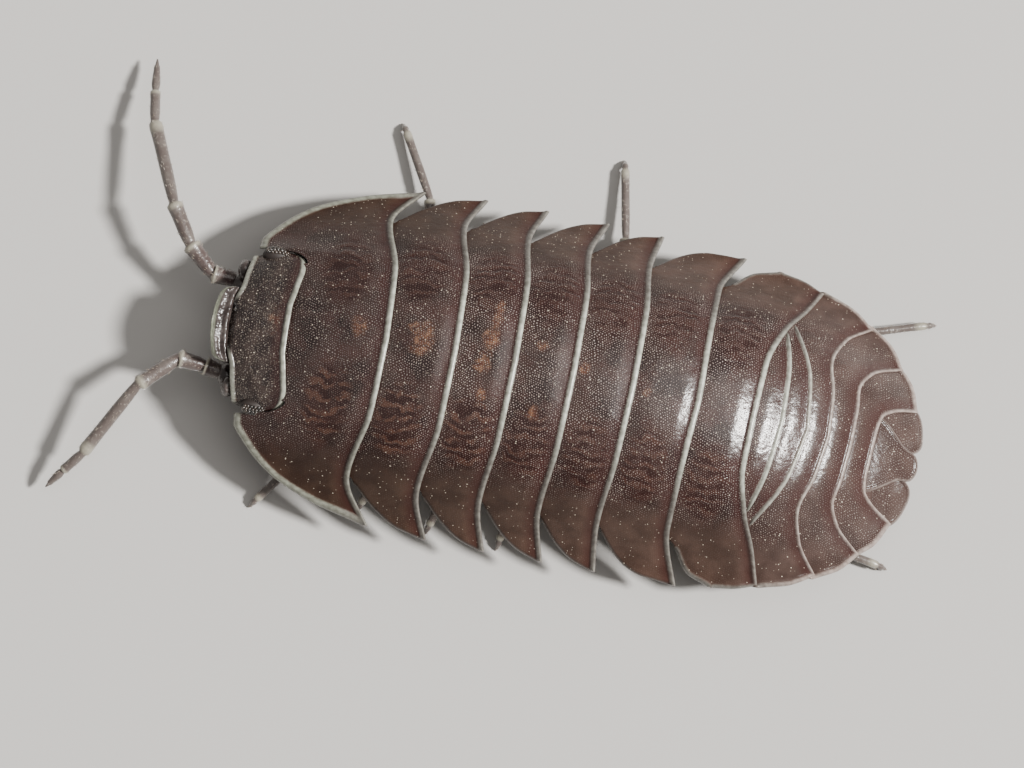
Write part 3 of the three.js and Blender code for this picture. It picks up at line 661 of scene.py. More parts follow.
def lobe(outline, top, thick, free=None):
    """A thin plate inside a closed outline in plan, laid on the height that top gives, with a low
    rim along the free stretch of its edge: its points, faces and distances in from that stretch."""
    edge = rounded(outline, LOBE_SIDES)
    middle = edge.mean(0)
    share = np.sin(np.linspace(0.02, np.pi / 2, LOBE_RINGS))
    plan = middle + (edge - middle) * share[:, None, None]
    flat = plan.reshape(-1, 2)
    closed = np.concatenate([edge, edge[:1]])
    inward = distance(flat, closed).reshape(plan.shape[:2])
    rounding = edge_round(inward, thick / 2)
    height = top(plan[..., 0], plan[..., 1]) - thick / 2
    rim_gap = np.full(plan.shape[:2], FAR)
    if free is not None:
        kept = closed[free(*closed.T)]
        rim_gap = distance(flat, kept).reshape(plan.shape[:2])
    lift = LOBE_RIM_RISE * LOBE_RIM * bead(rim_gap, LOBE_RIM)
    over = np.dstack([plan, height + thick / 2 * rounding + lift + SKIN])
    below = np.dstack([plan, height - thick / 2 * rounding - SKIN])
    points = np.concatenate([over, below[::-1]]).reshape(-1, 3)
    rim_gaps = np.concatenate([rim_gap, rim_gap[::-1]]).ravel()
    return points, tube_faces(2 * LOBE_RINGS, LOBE_SIDES), rim_gaps


SHIELD_THICK, SHIELD_SUNK, SHIELD_RISE_LONG = 0.14, 0.14, 0.8
BRANCH_THICK, BRANCH_DROP, BRANCH_FREE_X = 0.13, 0.19, 17.85
lower_half = np.arange(2 * LOBE_RINGS * LOBE_SIDES) >= LOBE_RINGS * LOBE_SIDES
last_margin = margin_of(pleonites[-1])


def tucked(x, y):
    """Height of the shield: it comes out from under the last tail plate as the plates ahead do."""
    behind = np.clip((x - last_margin(np.abs(y))) / SHIELD_RISE_LONG, 0, 1)
    return back_height(x, y) - upright(SHIELD_SUNK, x, y) * (1 - behind) ** 2


shield_side = [(16.45, 0.8), (16.9, 0.97), (17.15, 0.9), (17.44, 0.68), (17.74, 0.44), (17.93, 0.385),
               (18.09, 0.32), (18.18, 0.17)]
shield_outline = [*shield_side, (18.21, 0.0), *[(x, -y) for x, y in reversed(shield_side)]]
points, faces, rim_gap = lobe(
    shield_outline, tucked, SHIELD_THICK, lambda x, y: x > last_margin(np.abs(y)) - LOBE_RIM,
)
piece = make_piece("tail_shield", points, faces, shell, shell_marks(
    points * [1, 1, 0], side=rim_gap, side_rim=LOBE_RIM, under=lower_half,
))
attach(piece, "root")
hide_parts("telson")

branch_outline = [
    (16.95, 0.75), (17.0, 1.15), (17.3, 1.38), (17.62, 1.5), (17.86, 1.5), (17.99, 1.38), (18.08, 1.22),
    (18.15, 1.0), (18.2, 0.74), (18.165, 0.54), (18.05, 0.4), (17.84, 0.3), (17.5, 0.4), (17.2, 0.58),
]
for side, name in ((1, "right"), (-1, "left")):
    points, faces, rim_gap = lobe(
        [(x, side * y) for x, y in branch_outline],
        lambda x, y: back_height(x, y) - BRANCH_DROP * (1 - 0.5 * smooth(x, 17.6, 18.1)),
        BRANCH_THICK, lambda x, y: x > BRANCH_FREE_X,
    )
    piece = make_piece(f"tail_branch_{name}", points, faces, shell, shell_marks(
        points * [1, 1, 0], side=rim_gap, side_rim=LOBE_RIM, flank=0.3, under=lower_half,
    ))
    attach(piece, "root")
    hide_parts(f"uropod_{name}")


# Head. One hard capsule sunk in the bay of the first plate: a nearly flat crown with a raised pale
# brow line in front and a raised rear rim, and a face that drops straight down to the mouth.
HEAD_RINGS, HEAD_SIDES, END_RINGS = 64, 140, 4
HEAD_SQUARE, HEAD_ARCH, HEAD_GROOVE = 0.6, 0.36, 0.14
BROW_RIM, NAPE_RIM, HEAD_RIM_RAISE = 0.12, 0.14, 0.05
HEART_Z = 2.1
CHEEK_FROM, CHEEK_TO, CHEEK_LEVEL = 2.7, 2.2, 3.0
BAND_HIDDEN, BAND_WIDER = -0.08, 0.085
STAIN_PLACE, STAIN_HALF = (1.72, 0.2), (0.3, 0.4)
brow_line = through([(0, 0.58), (0.45, 0.6), (0.7, 0.64), (1.0, 0.745), (1.45, 0.82), (1.86, 0.92)])
nape_line = through([
    (0, 2.08), (0.55, 2.09), (0.9, 2.15), (1.2, 2.2), (1.6, 2.26), (1.8, 2.24), (1.95, 2.15), (2.06, 1.98),
])
head_half = through([(0, 1.86), (0.25, 1.96), (0.55, 2.06), (0.85, 2.04), (1, 1.9)])
head_top = through([(0, 2.7), (0.3, 2.93), (0.7, 3.13), (1, 3.28)])
head_low = through([(0, 1.75), (0.1, 1.5), (0.3, 1.3), (0.7, 1.3), (1, 1.6)])


def squared(value):
    return np.sign(value) * np.abs(value) ** HEAD_SQUARE


def head_surface(along, angle):
    """Points of the head from share along it and angle round it, with distances from its rims."""
    share, crown = squared(np.cos(angle)), squared(np.sin(angle))
    y = head_half(along) * share
    x = brow_line(np.abs(y)) * (1 - along) + nape_line(np.abs(y)) * along
    low, top = head_low(along), head_top(along)
    z = low + (top - low) * (0.5 + 0.5 * crown) - np.maximum(crown, 0) * HEAD_ARCH * share ** 2
    from_brow, from_nape = x - brow_line(np.abs(y)), nape_line(np.abs(y)) - x
    above = smooth(crown, 0.1, 0.5)
    groove = smooth(np.abs(y), 0.72, 0.45)
    brow_rise = bead(from_brow, BROW_RIM) * (1 - groove)
    z = z + above * HEAD_RIM_RAISE * (brow_rise + bead(from_nape, NAPE_RIM))
    z = z - above * HEAD_GROOVE * groove * smooth(from_brow, 0.16, 0.0)
    return np.stack([x, y, z], -1), from_brow, from_nape


def turns(sides):
    """Angles once round, the first not met again."""
    return np.linspace(0, 2 * np.pi, sides, endpoint=False)


points, from_brow, from_nape = head_surface(
    *np.meshgrid(spread(HEAD_RINGS, 0.8), turns(HEAD_SIDES), indexing="ij")
)


def closed_in(ring, steps):
    """Rings that close a hollow end: each drawn in towards the middle and pushed along x."""
    heart = np.array([0, 0, HEART_Z])
    return np.array([heart + (ring - heart) * [1, share, share] + [push, 0, 0] for share, push in steps])


face = closed_in(points[0], [(0.12, 0.12), (0.4, 0.12), (0.8, 0.1), (0.96, 0.04)])
neck = closed_in(points[-1], [(0.97, -0.05), (0.9, -0.14), (0.8, -0.2), (0.3, -0.24)])
points = np.concatenate([face, points, neck])
ends = ((END_RINGS, END_RINGS), (0, 0))
from_brow = np.pad(from_brow, ends, constant_values=((0.3, 2.0), (0, 0)))
from_nape = np.pad(from_nape, ends, constant_values=((2.0, FAR), (0, 0)))

# The finish is laid out flat, with the sides of the head folded out beyond its crown
flat = points.reshape(-1, 3).copy()
folded = smooth(flat[:, 2], CHEEK_FROM, CHEEK_TO)
flat[:, 1] += np.sign(flat[:, 1]) * (CHEEK_LEVEL - flat[:, 2]) * folded
flat[:, 2] = 0
# The brow's pale band fades out behind the face shield
brow_band = BAND_HIDDEN + (BROW_RIM + BAND_WIDER) * smooth(np.abs(points[..., 1]), 0.4, 0.75)
stain = 0.7 * smooth(np.hypot(*((flat[:, :2] - STAIN_PLACE) / STAIN_HALF).T), 1.4, 0.1)
head_faces = tube_faces(HEAD_RINGS + 2 * END_RINGS, HEAD_SIDES)
piece = make_piece("head_capsule", points.reshape(-1, 3), head_faces, shell, shell_marks(
    flat, rear=from_nape, side=from_brow, side_rim=brow_band, flank=0.2, hood=1.0, spot=stain,
))
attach(piece, "root")
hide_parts("head")


# Face shield. A three-cornered plate that stands up in front of the brow, its thick glossy top edge
# parted from the head by a groove.
SHIELD_HALF, SHIELD_TOP, SHIELD_DEEP, SHIELD_NARROWING = 0.95, 2.76, 1.1, 0.72
SHIELD_RINGS, SHIELD_SIDES = 70, 56
shield_front = through([(0, 0.15), (0.3, 0.165), (0.6, 0.21), (0.8, 0.27), (0.9, 0.36), (0.95, 0.52)])
rings = []
for y in (2 * spread(SHIELD_RINGS, 0.9) - 1) * SHIELD_HALF:
    share = abs(y) / SHIELD_HALF
    front_x, top = float(shield_front(abs(y))), SHIELD_TOP - 0.1 * share ** 2
    back_x = float(brow_line(abs(y))) - 0.02
    deep = SHIELD_DEEP * (1 - SHIELD_NARROWING * share)
    foot = front_x + 0.3 * deep
    outline = rounded([
        (front_x, top - 0.12), (front_x + 0.04, top - 0.02), (front_x + 0.13, top),
        (front_x * 0.4 + back_x * 0.6, top - 0.05), (back_x - 0.04, top - 0.03), (back_x, top - 0.1),
        (back_x + 0.12, top - 0.3), (0.9, top - 0.4), (0.9, top - deep),
        (foot + 0.04, top - deep), (foot - 0.03, top - deep + 0.05),
    ], SHIELD_SIDES)
    rings.append(np.stack([outline[:, 0], np.full(SHIELD_SIDES, y), outline[:, 1]], -1))
points = np.array(rings)
from_edge = points[..., 0] - shield_front(np.abs(points[..., 1]))
from_edge = np.hypot(from_edge, np.minimum(points[..., 2] - SHIELD_TOP + 0.12, 0))


def brow_finish():
    """Smooth thick cuticle, greyer and clearer than the plates, with uneven gloss."""
    kit = Finish("brow_cuticle")
    at = kit.place()
    cloud, ripple = kit.noise(at, 3200.0, 3), kit.noise(at, 5000.0, 2)
    colour = kit.mix(kit.step(cloud, 0.38, 0.62), (0.028, 0.02, 0.019), (0.07, 0.056, 0.052))
    top_edge = kit.product(kit.step(kit.mark("edge"), 0.12, 0.04), 0.8)
    colour = kit.mix(top_edge, colour, (0.27, 0.29, 0.22))
    return kit.done(colour, 0.24, (ripple, 0.00007, 1.0), {"Coat Weight": 0.25})


brow = brow_finish()
shield_faces = tube_faces(SHIELD_RINGS, SHIELD_SIDES)
piece = make_piece("face_shield", points.reshape(-1, 3), shield_faces, brow, dict(edge=from_edge.ravel()))
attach(piece, "root")
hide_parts("head")


# Brow knobs and feeler sockets. Small smooth bosses below the brow line on each side of the shield;
# the lower ones carry the feelers.
BOSS_RINGS, BOSS_SIDES, BOSS_END = 20, 28, 0.06


def boss(centre, radii):
    rises = np.linspace(BOSS_END, np.pi - BOSS_END, BOSS_RINGS)
    rise, turn = np.meshgrid(rises, turns(BOSS_SIDES), indexing="ij")
    ball = np.stack([np.cos(rise), np.sin(rise) * np.cos(turn), np.sin(rise) * np.sin(turn)], -1)
    return (ball * radii + centre).reshape(-1, 3), tube_faces(BOSS_RINGS, BOSS_SIDES)


def joined(parts):
    """Several (points, faces) as one."""
    points, faces, start = [], [], 0
    for own_points, own_faces in parts:
        points.append(own_points)
        faces.append(own_faces + start)
        start += len(own_points)
    return np.concatenate(points), np.concatenate(faces)


bosses = []
for side in (1, -1):
    bosses.append(boss((0.76, side * 1.5, 2.1), (0.18, 0.26, 0.26)))
    bosses.append(boss((0.7, side * 1.15, 1.68), (0.26, 0.34, 0.3)))
points, faces = joined(bosses)
piece = make_piece("brow_bosses", points, faces, brow, dict(edge=np.full(len(points), 1.0)))
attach(piece, "root")
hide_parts("head")


# Eyes. Each is a low oval mound on the side edge of the head just behind the brow, set with 26
# separate lenses, dark glossy beads in four rows.
EYE_MIDDLE, EYE_RADII = (1.5, 1.92, 2.34), (0.37, 0.2, 0.24)
LENS_RADIUS, LENS_STEP, LENS_SUBDIVISIONS = 0.043, 14.0, 3
# Each row's rise round the mound in degrees, and its count of lenses
LENS_ROWS = ((12, 6), (32, 7), (52, 7), (73, 6))


def eye_finish():
    kit = Finish("eye_facets")
    speckle = kit.step(kit.noise(kit.place(), 9000.0, 2), 0.35, 0.65)
    colour = kit.mix(speckle, (0.012, 0.01, 0.009), (0.05, 0.035, 0.026))
    return kit.done(colour, 0.3, gloss={"Coat Weight": 1.0, "Coat Roughness": 0.22})


def growth(name, sizes, grow, finish):
    """Geometry nodes that turn the instances made by grow into plain mesh with a finish, and the
    keys by which a modifier takes the sizes."""
    tree = bpy.data.node_groups.new(name, "GeometryNodeTree")
    new_socket, add = tree.interface.new_socket, Nodes(tree).add
    new_socket("Seed", in_out="INPUT", socket_type="NodeSocketGeometry")
    keys = [new_socket(size, in_out="INPUT", socket_type="NodeSocketFloat").identifier for size in sizes]
    new_socket("Grown", in_out="OUTPUT", socket_type="NodeSocketGeometry")
    instances = grow(add, add("NodeGroupInput").outputs)
    real = add("GeometryNodeRealizeInstances", {0: instances})
    painted = add("GeometryNodeSetMaterial", {0: real.outputs[0], "Material": finish})
    add("NodeGroupOutput", {0: painted.outputs[0]})
    return tree, keys


def lens_beads(add, given):
    """One bead on each point of the seed mesh."""
    bead = add("GeometryNodeMeshIcoSphere", {
        "Radius": given["Bead radius"], "Subdivisions": LENS_SUBDIVISIONS,
    })
    soft = add("GeometryNodeSetShadeSmooth", {0: bead.outputs["Mesh"]}).outputs[0]
    return add("GeometryNodeInstanceOnPoints", {"Points": given["Seed"], "Instance": soft}).outputs[0]


def grown(name, seed_mesh, rule, *sizes):
    """A plain mesh piece that a rule of growth makes on a seed mesh."""
    seed_piece = bpy.data.objects.new(name + "_seed", seed_mesh)
    bpy.context.scene.collection.objects.link(seed_piece)
    modifier = seed_piece.modifiers.new("grown", "NODES")
    modifier.node_group, keys = rule
    for key, size in zip(keys, sizes):
        modifier[key] = size
    evaluated = seed_piece.evaluated_get(bpy.context.evaluated_depsgraph_get())
    mesh = bpy.data.meshes.new_from_object(evaluated)
    bpy.data.objects.remove(seed_piece)
    piece = bpy.data.objects.new(name, mesh)
    bpy.context.scene.collection.objects.link(piece)
    return piece


beads = growth("beads_on_points", ["Bead radius"], lens_beads, eye_finish())
# Dull brown skin shows between the lenses
mound = Finish("eye_mound_skin").done((0.022, 0.0155, 0.0135), 0.6)
for side, name in ((1, "right"), (-1, "left")):
    mirror = np.array([1, side, 1])
    points, faces = boss(EYE_MIDDLE, EYE_RADII)
    piece = make_piece(f"eye_mound_{name}", points * mirror, faces, mound)
    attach(piece, "root")
    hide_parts(f"eye_{name}")

    lenses = []
    for row_rise, count in LENS_ROWS:
        rise = math.radians(row_rise)
        for k in range(count):
            turn = math.radians(90 + (k - (count - 1) / 2) * LENS_STEP)
            lenses.append((math.cos(turn), math.sin(turn) * math.cos(rise), math.sin(turn) * math.sin(rise)))
    points = (np.array(lenses) * EYE_RADII + EYE_MIDDLE) * mirror
    seed_mesh = bpy.data.meshes.new("lens_points")
    seed_mesh.from_pydata(placed(points), [], [])
    piece = grown(f"eye_lenses_{name}", seed_mesh, beads, LENS_RADIUS * MM)
    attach(piece, "root")
    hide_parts(f"eye_{name}")


# Trunk under the plates. One soft body from the neck to the tail, arched to fit below the plates,
# its upper skin near black as painted shade where it shows between the plates, with a pale jointed
# belly whose cross folds mark each segment between its legs.
BELLY_Z, BELLY_HALF, BELLY_RISE = 1.75, 1.8, 0.78
TRUNK_FRONT, TRUNK_REAR, TRUNK_DEPTH = 0.95, 17.75, 0.36
TRUNK_RINGS, TRUNK_SIDES = 240, 72
FOLD_WIDE, FOLD_DEEP = 0.16, 0.12


def belly_height(y):
    return BELLY_Z + BELLY_RISE * np.maximum(0, np.abs(y) - BELLY_HALF)


fold_places = [2.9, 4.4, 6.05, 7.55, 9.05, 10.6, 12.2, 13.7]
trunk_half = through([
    (0.95, 1.5), (1.6, 1.8), (2.1, 2.35), (3.0, 2.8), (5, 3.05), (12, 3.05), (14, 2.75), (16, 1.95),
    (17, 1.2), (17.75, 0.4),
])
rings, turn = [], turns(TRUNK_SIDES)
for x in np.linspace(TRUNK_FRONT, TRUNK_REAR, TRUNK_RINGS):
    share = np.sign(np.cos(turn)) * np.abs(np.cos(turn)) ** 0.8
    y = trunk_half(x) * share
    fold = sum(np.exp(-(((x - place) / FOLD_WIDE) ** 2)) for place in fold_places)
    ceiling = back_height(x, y) - upright(TRUNK_DEPTH, x, y)
    bottom = np.minimum(belly_height(y) + FOLD_DEEP * fold * smooth(np.abs(y), 2.4, 1.6), ceiling - 0.02)
    middle = (ceiling + bottom) / 2
    half_high = (ceiling - bottom) / 2 * np.abs(np.sin(turn)) ** 0.35
    z = middle + np.sign(np.sin(turn)) * half_high
    rings.append(np.stack([np.full(TRUNK_SIDES, x), y, z], -1))
points = np.array(rings).reshape(-1, 3)


def trunk_finish():
    kit = Finish("trunk_skin")
    at = kit.place()
    cloud, crease = kit.noise(at, 1400.0, 4), kit.noise(at, 9000.0, 3)
    belly = kit.mix(kit.step(cloud, 0.35, 0.65), (0.2, 0.165, 0.14), (0.33, 0.285, 0.25))
    # Painted shade: the upper skin is near black, standing for the shade under the plates
    colour = kit.mix(kit.mark("upper"), belly, (0.02, 0.012, 0.01))
    return kit.done(colour, 0.5, (crease, 0.00002, 0.6))


trunk_faces = tube_faces(TRUNK_RINGS, TRUNK_SIDES)
marks = dict(upper=smooth(points[:, 2] - belly_height(points[:, 1]), 0.1, 0.3))
piece = make_piece("trunk_skin", points, trunk_faces, trunk_finish(), marks)
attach(piece, "root")
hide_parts(*[f"pereonite_{number}" for number in range(1, 8)], "pleon")


# Limb finish. Thin pale cuticle, clear enough to look purple-brown at the base and grey towards the
# tip, with a paler collar at each joint.
def limb_finish():
    kit = Finish("limb_cuticle")
    mix, mark, product, at = kit.mix, kit.mark, kit.product, kit.place()
    cloud, fine = kit.noise(at, 2600.0, 4), kit.noise(at, 12000.0, 2)
    colour = mix(mark("tone"), (0.042, 0.022, 0.022), (0.105, 0.085, 0.077))
    colour = mix(product(kit.step(cloud, 0.42, 0.64), 0.5), colour, (0.17, 0.15, 0.135))
    # Painted highlight: the pale fine speckle stands for small glints on the cuticle
    colour = mix(product(kit.step(fine, 0.58, 0.7), 0.45), colour, (0.38, 0.34, 0.3))
    colour = mix(product(mark("collar"), 0.75), colour, (0.36, 0.34, 0.27))
    colour = mix(mark("claw"), colour, (0.1, 0.045, 0.02))
    return kit.done(colour, 0.28, (fine, 0.00002, 0.7), {"Sheen Weight": 0.8, "Sheen Roughness": 0.3})


limb = limb_finish()
# Along one article: narrow where it is let into the last, swelling to a collar at its far end
article_shape = through([
    (0, 0.66), (0.12, 0.78), (0.35, 0.9), (0.7, 0.97), (0.86, 1.07), (0.93, 1.12), (0.985, 1.0), (1, 0.7),
])
# Along the last one: a slim shaft, then a horny claw that curves down
last_shape = through([(0, 0.7), (0.25, 1), (0.7, 0.8), (0.76, 0.78), (0.8, 0.6), (1, 0.22)])
ARTICLE_RINGS, LIMB_SIDES = 22, 20


def limb_form(joints, radii, claw=1.0):
    """A jointed limb as one closed tube through its joints, with the marks that its finish reads."""
    joints = [np.array(joint, float) for joint in joints]
    centres, sizes, collar, tone, horn = [], [], [], [], []
    last = len(joints) - 2
    for k, (start, end) in enumerate(zip(joints, joints[1:])):
        for u in np.linspace(0, 1, ARTICLE_RINGS, endpoint=k == last):
            shape = last_shape if k == last else article_shape
            centres.append(start + (end - start) * u)
            sizes.append(float(shape(u)) * (radii[k] + (radii[k + 1] - radii[k]) * u))
            collar.append(float(smooth(u, 0.82, 0.9)) if k < last else 0.0)
            tone.append(min(1, (k + u) / 3))
            horn.append(claw * float(smooth(u, 0.74, 0.8)) if k == last else 0.0)
    centres, sizes = np.array(centres), np.array(sizes)
    heading = np.gradient(centres, axis=0)
    heading /= np.linalg.norm(heading, axis=1)[:, None]
    across = np.array([0, 0, 1.0]) if abs(heading[0][2]) < 0.9 else np.array([1.0, 0, 0])
    rings, turn = [], turns(LIMB_SIDES)
    for centre, size, direction in zip(centres, sizes, heading):
        across = across - direction * (across @ direction)
        across /= np.linalg.norm(across)
        beside = np.cross(direction, across)
        rings.append(centre + size * (np.cos(turn)[:, None] * across + np.sin(turn)[:, None] * beside))
    points = np.array(rings).reshape(-1, 3)
    marks = dict(collar=collar, tone=tone, claw=horn, heading=heading)
    marks = {key: np.repeat(value, LIMB_SIDES, axis=0) for key, value in marks.items()}
    return points, tube_faces(len(rings), LIMB_SIDES), marks


# Bristles: short stiff hairs that stand on the limbs and lean towards their tips. They grow from
# seeded points on each limb's surface.
BRISTLE_LENGTH, BRISTLE_RADIUS, BRISTLES_PER_MM2 = 0.075, 0.006, 34
BRISTLE_SIDES, BRISTLE_SEED, SHORTEST, LONGEST = 5, 11, 0.5, 1.25


def leaning_bristles(add, given):
    """A cone on each seeded point, leaning from the surface's own direction to the limb's."""
    scatter = add("GeometryNodeDistributePointsOnFaces", {
        "Mesh": given["Seed"], "Density": given["Bristles per area"], "Seed": BRISTLE_SEED,
    }).outputs
    cone = add("GeometryNodeMeshCone", {
        "Vertices": BRISTLE_SIDES, "Radius Top": 0, "Radius Bottom": given["Bristle radius"],
        "Depth": given["Bristle length"],
    })
    along = add("GeometryNodeInputNamedAttribute", {"Name": "heading"}, data_type="FLOAT_VECTOR")
    lean = add("ShaderNodeVectorMath", {0: scatter["Normal"], 1: along.outputs["Attribute"]}, operation="ADD")
    stand = add("FunctionNodeAlignRotationToVector", {"Vector": lean.outputs[0]}, axis="Z")
    size = add("FunctionNodeRandomValue", {"Min": SHORTEST, "Max": LONGEST})
    return add("GeometryNodeInstanceOnPoints", {
        "Points": scatter["Points"], "Instance": cone.outputs["Mesh"],
        "Rotation": stand.outputs["Rotation"], "Scale": size.outputs["Value"],
    }).outputs[0]


bristles = growth(
    "bristles_on_limb", ["Bristles per area", "Bristle length", "Bristle radius"], leaning_bristles,
    Finish("bristle_horn").done((0.36, 0.3, 0.24), 0.35),
)


def add_bristles(name, limb_piece, node):
    sizes = BRISTLES_PER_MM2 / MM ** 2, BRISTLE_LENGTH * MM, BRISTLE_RADIUS * MM
    piece = grown(name, limb_piece.data.copy(), bristles, *sizes)
    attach(piece, "root")
    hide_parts(node)


# Feelers. Five stalk joints, the fourth and fifth long, end in a slender two-jointed lash; the
# right one is held out to the side and the left one forward.
feelers = dict(
    right=[(0.6, 1.28, 1.66), (-0.04, 1.34, 1.68), (-0.7, 2.0, 1.8), (-1.25, 2.98, 1.82),
           (-2.03, 5.12, 1.1), (-2.13, 5.95, 0.82), (-2.2, 6.82, 0.55)],
    left=[(0.62, -1.12, 1.66), (0.1, -0.99, 1.68), (-0.58, -0.92, 1.8), (-1.5, -1.72, 1.82),
          (-2.69, -3.53, 1.1), (-3.14, -3.98, 0.8), (-3.54, -4.4, 0.5)],
)
FEELER_RADII = [0.23, 0.22, 0.21, 0.185, 0.155, 0.115, 0.09]
for name, joints in feelers.items():
    points, faces, marks = limb_form(joints, FEELER_RADII, claw=0.0)
    piece = make_piece(f"feeler_{name}", points, faces, limb, marks)
    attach(piece, "root")
    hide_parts(f"antenna_{name}")
    add_bristles(f"feeler_bristles_{name}", piece, f"antenna_{name}")

# Legs. Seven alike pairs: from the hip the first joint folds in under the belly to the knee, and
# four more reach out past the side plates to a small claw that stands flat on the floor.
HIP_Y, HIP_SUNK, KNEE_Y, KNEE_Z = 2.25, 0.12, 1.5, 0.98
CLAW_REACH, CLAW_HEIGHT = 0.24, 0.27
KNEE_SHIFT, TOE_Z = 0.18, 0.03
LEG_SHARES = (0.18, 0.38, 0.6, 1.0)
LEG_RADII = [0.26, 0.23, 0.19, 0.16, 0.13, 0.095, 0.05]
legs = dict(
    right=[(3.55, (2.5, 2.6, 0.75), (2.1, 3.0)), (5.3, (4.95, 4.3, 0.5), (3.96, 6.22)),
           (6.95, (6.6, 3.3, 0.62), (6.35, 4.05)), (8.45, (8.3, 3.3, 0.62), (8.1, 4.1)),
           (9.95, (9.88, 4.3, 0.5), (9.48, 6.33)), (11.5, (12.0, 3.2, 0.62), (12.4, 3.95)),
           (13.05, (15.6, 3.0, 0.55), (17.87, 3.96))],
    left=[(3.55, (2.6, -3.1, 0.6), (1.71, -4.15)), (5.3, (4.8, -3.1, 0.62), (4.45, -3.85)),
          (6.95, (6.6, -3.3, 0.62), (6.3, -4.1)), (8.45, (8.35, -3.3, 0.62), (8.2, -4.15)),
          (9.95, (10.2, -3.3, 0.62), (10.45, -4.1)), (11.5, (12.1, -3.1, 0.62), (12.6, -3.9)),
          (13.05, (15.8, -2.2, 0.6), (18.14, -2.43))],
)
for name, row in legs.items():
    side = 1 if name == "right" else -1
    for number, (hip_x, edge, foot) in enumerate(row, 1):
        hip_z = float(belly_height(HIP_Y)) + HIP_SUNK
        knee = np.array([hip_x + math.copysign(KNEE_SHIFT, edge[0] - hip_x), side * KNEE_Y, KNEE_Z])
        run = np.array(edge[:2]) - foot
        ankle = np.array([*(np.array(foot) + run / np.linalg.norm(run) * CLAW_REACH), CLAW_HEIGHT])
        stations = np.array([knee, edge, ankle])
        reach = np.concatenate([[0], np.cumsum(np.linalg.norm(np.diff(stations, axis=0), axis=1))])
        route = [through(list(zip(reach, stations[:, axis]))) for axis in range(3)]
        joints = [(hip_x, side * HIP_Y, hip_z), knee]
        joints += [[float(curve(share * reach[-1])) for curve in route] for share in LEG_SHARES]
        joints.append((*foot, TOE_Z))
        points, faces, marks = limb_form(joints, LEG_RADII)
        points[:, 2] = np.maximum(points[:, 2], 0.0)
        piece = make_piece(f"walking_leg_{name}_{number}", points, faces, limb, marks)
        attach(piece, "root")
        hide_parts(f"leg_{name}_{number}")
        add_bristles(f"leg_bristles_{name}_{number}", piece, f"leg_{name}_{number}")


# Breathing flaps. Five pairs of thin pale lobes under the tail, each pair lapping the next; the
# white patches on the first two pairs are the lungs.
FLAP_START, FLAP_PITCH, FLAP_LONG, FLAP_HALF, FLAP_NARROWING = 13.95, 0.6, 0.85, 1.3, 0.09
FLAP_TOP, FLAP_DROP, FLAP_THICK, FLAP_CLEFT = 1.5, 0.26, 0.14, 0.03
FLAP_PAIRS, LUNG_PAIRS = 5, 2
LUNG_BEHIND, LUNG_OUT, LUNG_RADIUS = 0.42, 0.62, 0.34


def flap_finish():
    kit = Finish("gill_flap")
    cloud = kit.noise(kit.place(), 2200.0, 4)
    colour = kit.mix(kit.step(cloud, 0.35, 0.65), (0.42, 0.36, 0.31), (0.56, 0.5, 0.44))
    colour = kit.mix(kit.step(kit.mark("lung"), 0.2, 0.7), colour, (0.8, 0.79, 0.75))
    return kit.done(colour, 0.45, (cloud, 0.00003, 0.5))


flaps, lung_marks = [], []
for pair in range(FLAP_PAIRS):
    start = FLAP_START + pair * FLAP_PITCH
    half = FLAP_HALF - FLAP_NARROWING * pair
    for side in (1, -1):
        corners = [
            (start, FLAP_CLEFT), (start + 0.04, 0.55 * half), (start + 0.22, 0.92 * half),
            (start + 0.5, half), (start + 0.72, 0.7 * half), (start + FLAP_LONG, 0.3 * half),
            (start + 0.76, FLAP_CLEFT), (start + 0.4, FLAP_CLEFT),
        ]
        points, faces, _ = lobe(
            [(x, side * y) for x, y in corners],
            lambda x, y: FLAP_TOP - FLAP_DROP * (x - start) / FLAP_LONG + 0 * y, FLAP_THICK,
        )
        flaps.append((points, faces))
        along, out = points[:, 0] - start - LUNG_BEHIND, np.abs(points[:, 1]) - LUNG_OUT * half
        from_lung = np.hypot(along, out) / LUNG_RADIUS
        lung_marks.append(smooth(from_lung, 1.15, 0.75) * (pair < LUNG_PAIRS))
points, faces = joined(flaps)
piece = make_piece("breathing_flaps", points, faces, flap_finish(), dict(lung=np.concatenate(lung_marks)))
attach(piece, "root")
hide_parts("pleopods")

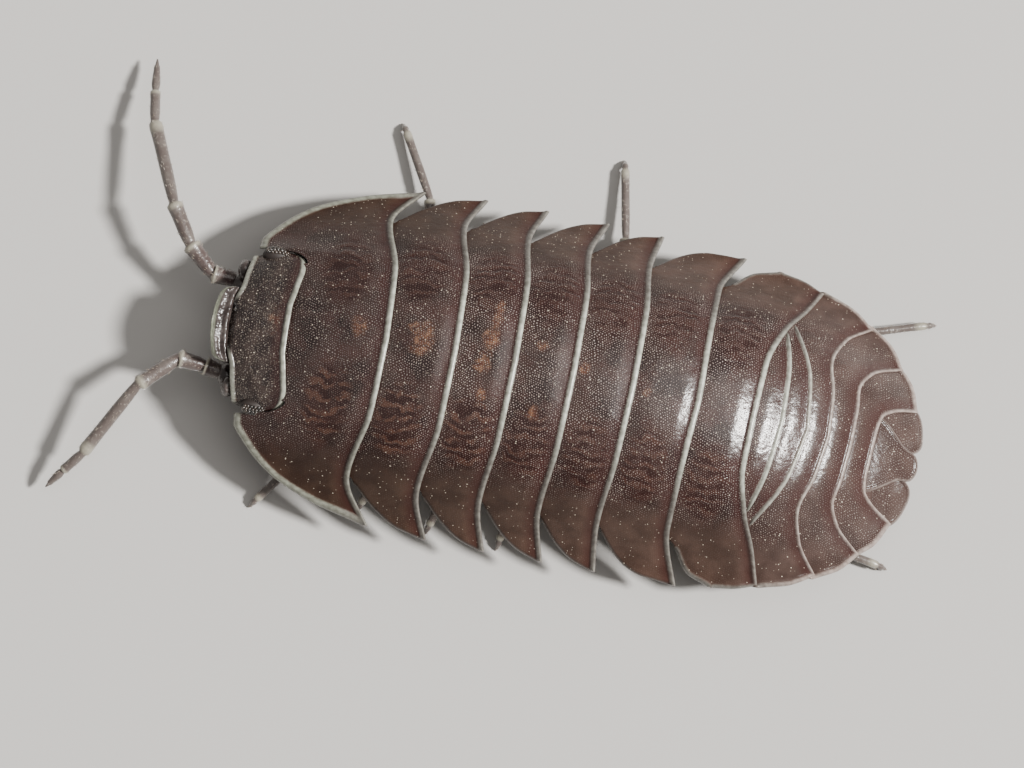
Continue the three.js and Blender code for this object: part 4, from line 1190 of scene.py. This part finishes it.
# Mouth. A short blunt cone of overlapping mouthparts below the head, closed from behind by two
# broad plates that meet along a groove.
mouth_plate = [(0.84, 0.03), (0.8, 0.3), (0.95, 0.56), (1.3, 0.62), (1.56, 0.44), (1.6, 0.03), (1.2, 0.03)]
mouth = [boss((1.12, 0.0, 1.2), (0.46, 0.6, 0.5))]
for side in (1, -1):
    points, faces, _ = lobe([(x, side * y) for x, y in mouth_plate], lambda x, y: 0.92 + 0.1 * y ** 2, 0.26)
    mouth.append((points, faces))
    mouth.append(boss((0.84, side * 0.3, 0.98), (0.12, 0.14, 0.3)))
    mouth.append(boss((1.02, side * 0.66, 1.12), (0.13, 0.11, 0.3)))
points, faces = joined(mouth)
even = np.ones(len(points))
marks = dict(collar=smooth(points[:, 2], 0.85, 0.6) * 0.5, tone=0.6 * even, claw=0 * even)
piece = make_piece("mouth_cone", points, faces, limb, marks)
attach(piece, "root")
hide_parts("mouthparts")


# Light and floor. Soft studio light from a broad panel overhead, and a smaller one beyond the tail
# that puts the sheen on the ridge; the floor is plain and pale.
PANEL_OFF, FLOOR_HALF = 0.5, 0.6
WORLD_TINT, WORLD_POWER = (1, 0.965, 0.93, 1), 0.3


def panel(name, towards, size, power, tint):
    data = bpy.data.lights.new(name, "AREA")
    data.shape = "DISK"
    data.size = size
    data.energy = power
    data.color = tint
    lamp = bpy.data.objects.new(name, data)
    direction = Vector(towards).normalized()
    lamp.location = direction * PANEL_OFF
    lamp.rotation_mode = "QUATERNION"
    lamp.rotation_quaternion = direction.to_track_quat("Z", "Y")
    bpy.context.scene.collection.objects.link(lamp)


panel("key", (0.66, 0.04, 0.75), 0.065, 6.0, (1, 0.975, 0.94))
panel("overhead", (0.17, 0.15, 0.97), 0.34, 0.5, (1, 0.97, 0.93))
world = bpy.data.worlds.new("studio")
world.use_nodes = True
world.node_tree.nodes["Background"].inputs[0].default_value = WORLD_TINT
world.node_tree.nodes["Background"].inputs[1].default_value = WORLD_POWER
bpy.context.scene.world = world

floor_mesh = bpy.data.meshes.new("floor")
corners = [(x * FLOOR_HALF, y * FLOOR_HALF, 0) for x, y in ((-1, -1), (1, -1), (1, 1), (-1, 1))]
floor_mesh.from_pydata(corners, [], [(0, 1, 2, 3)])
floor_mesh.materials.append(Finish("pale_floor").done((0.5, 0.49, 0.475), 0.8))
floor = bpy.data.objects.new("floor", floor_mesh)
bpy.context.scene.collection.objects.link(floor)
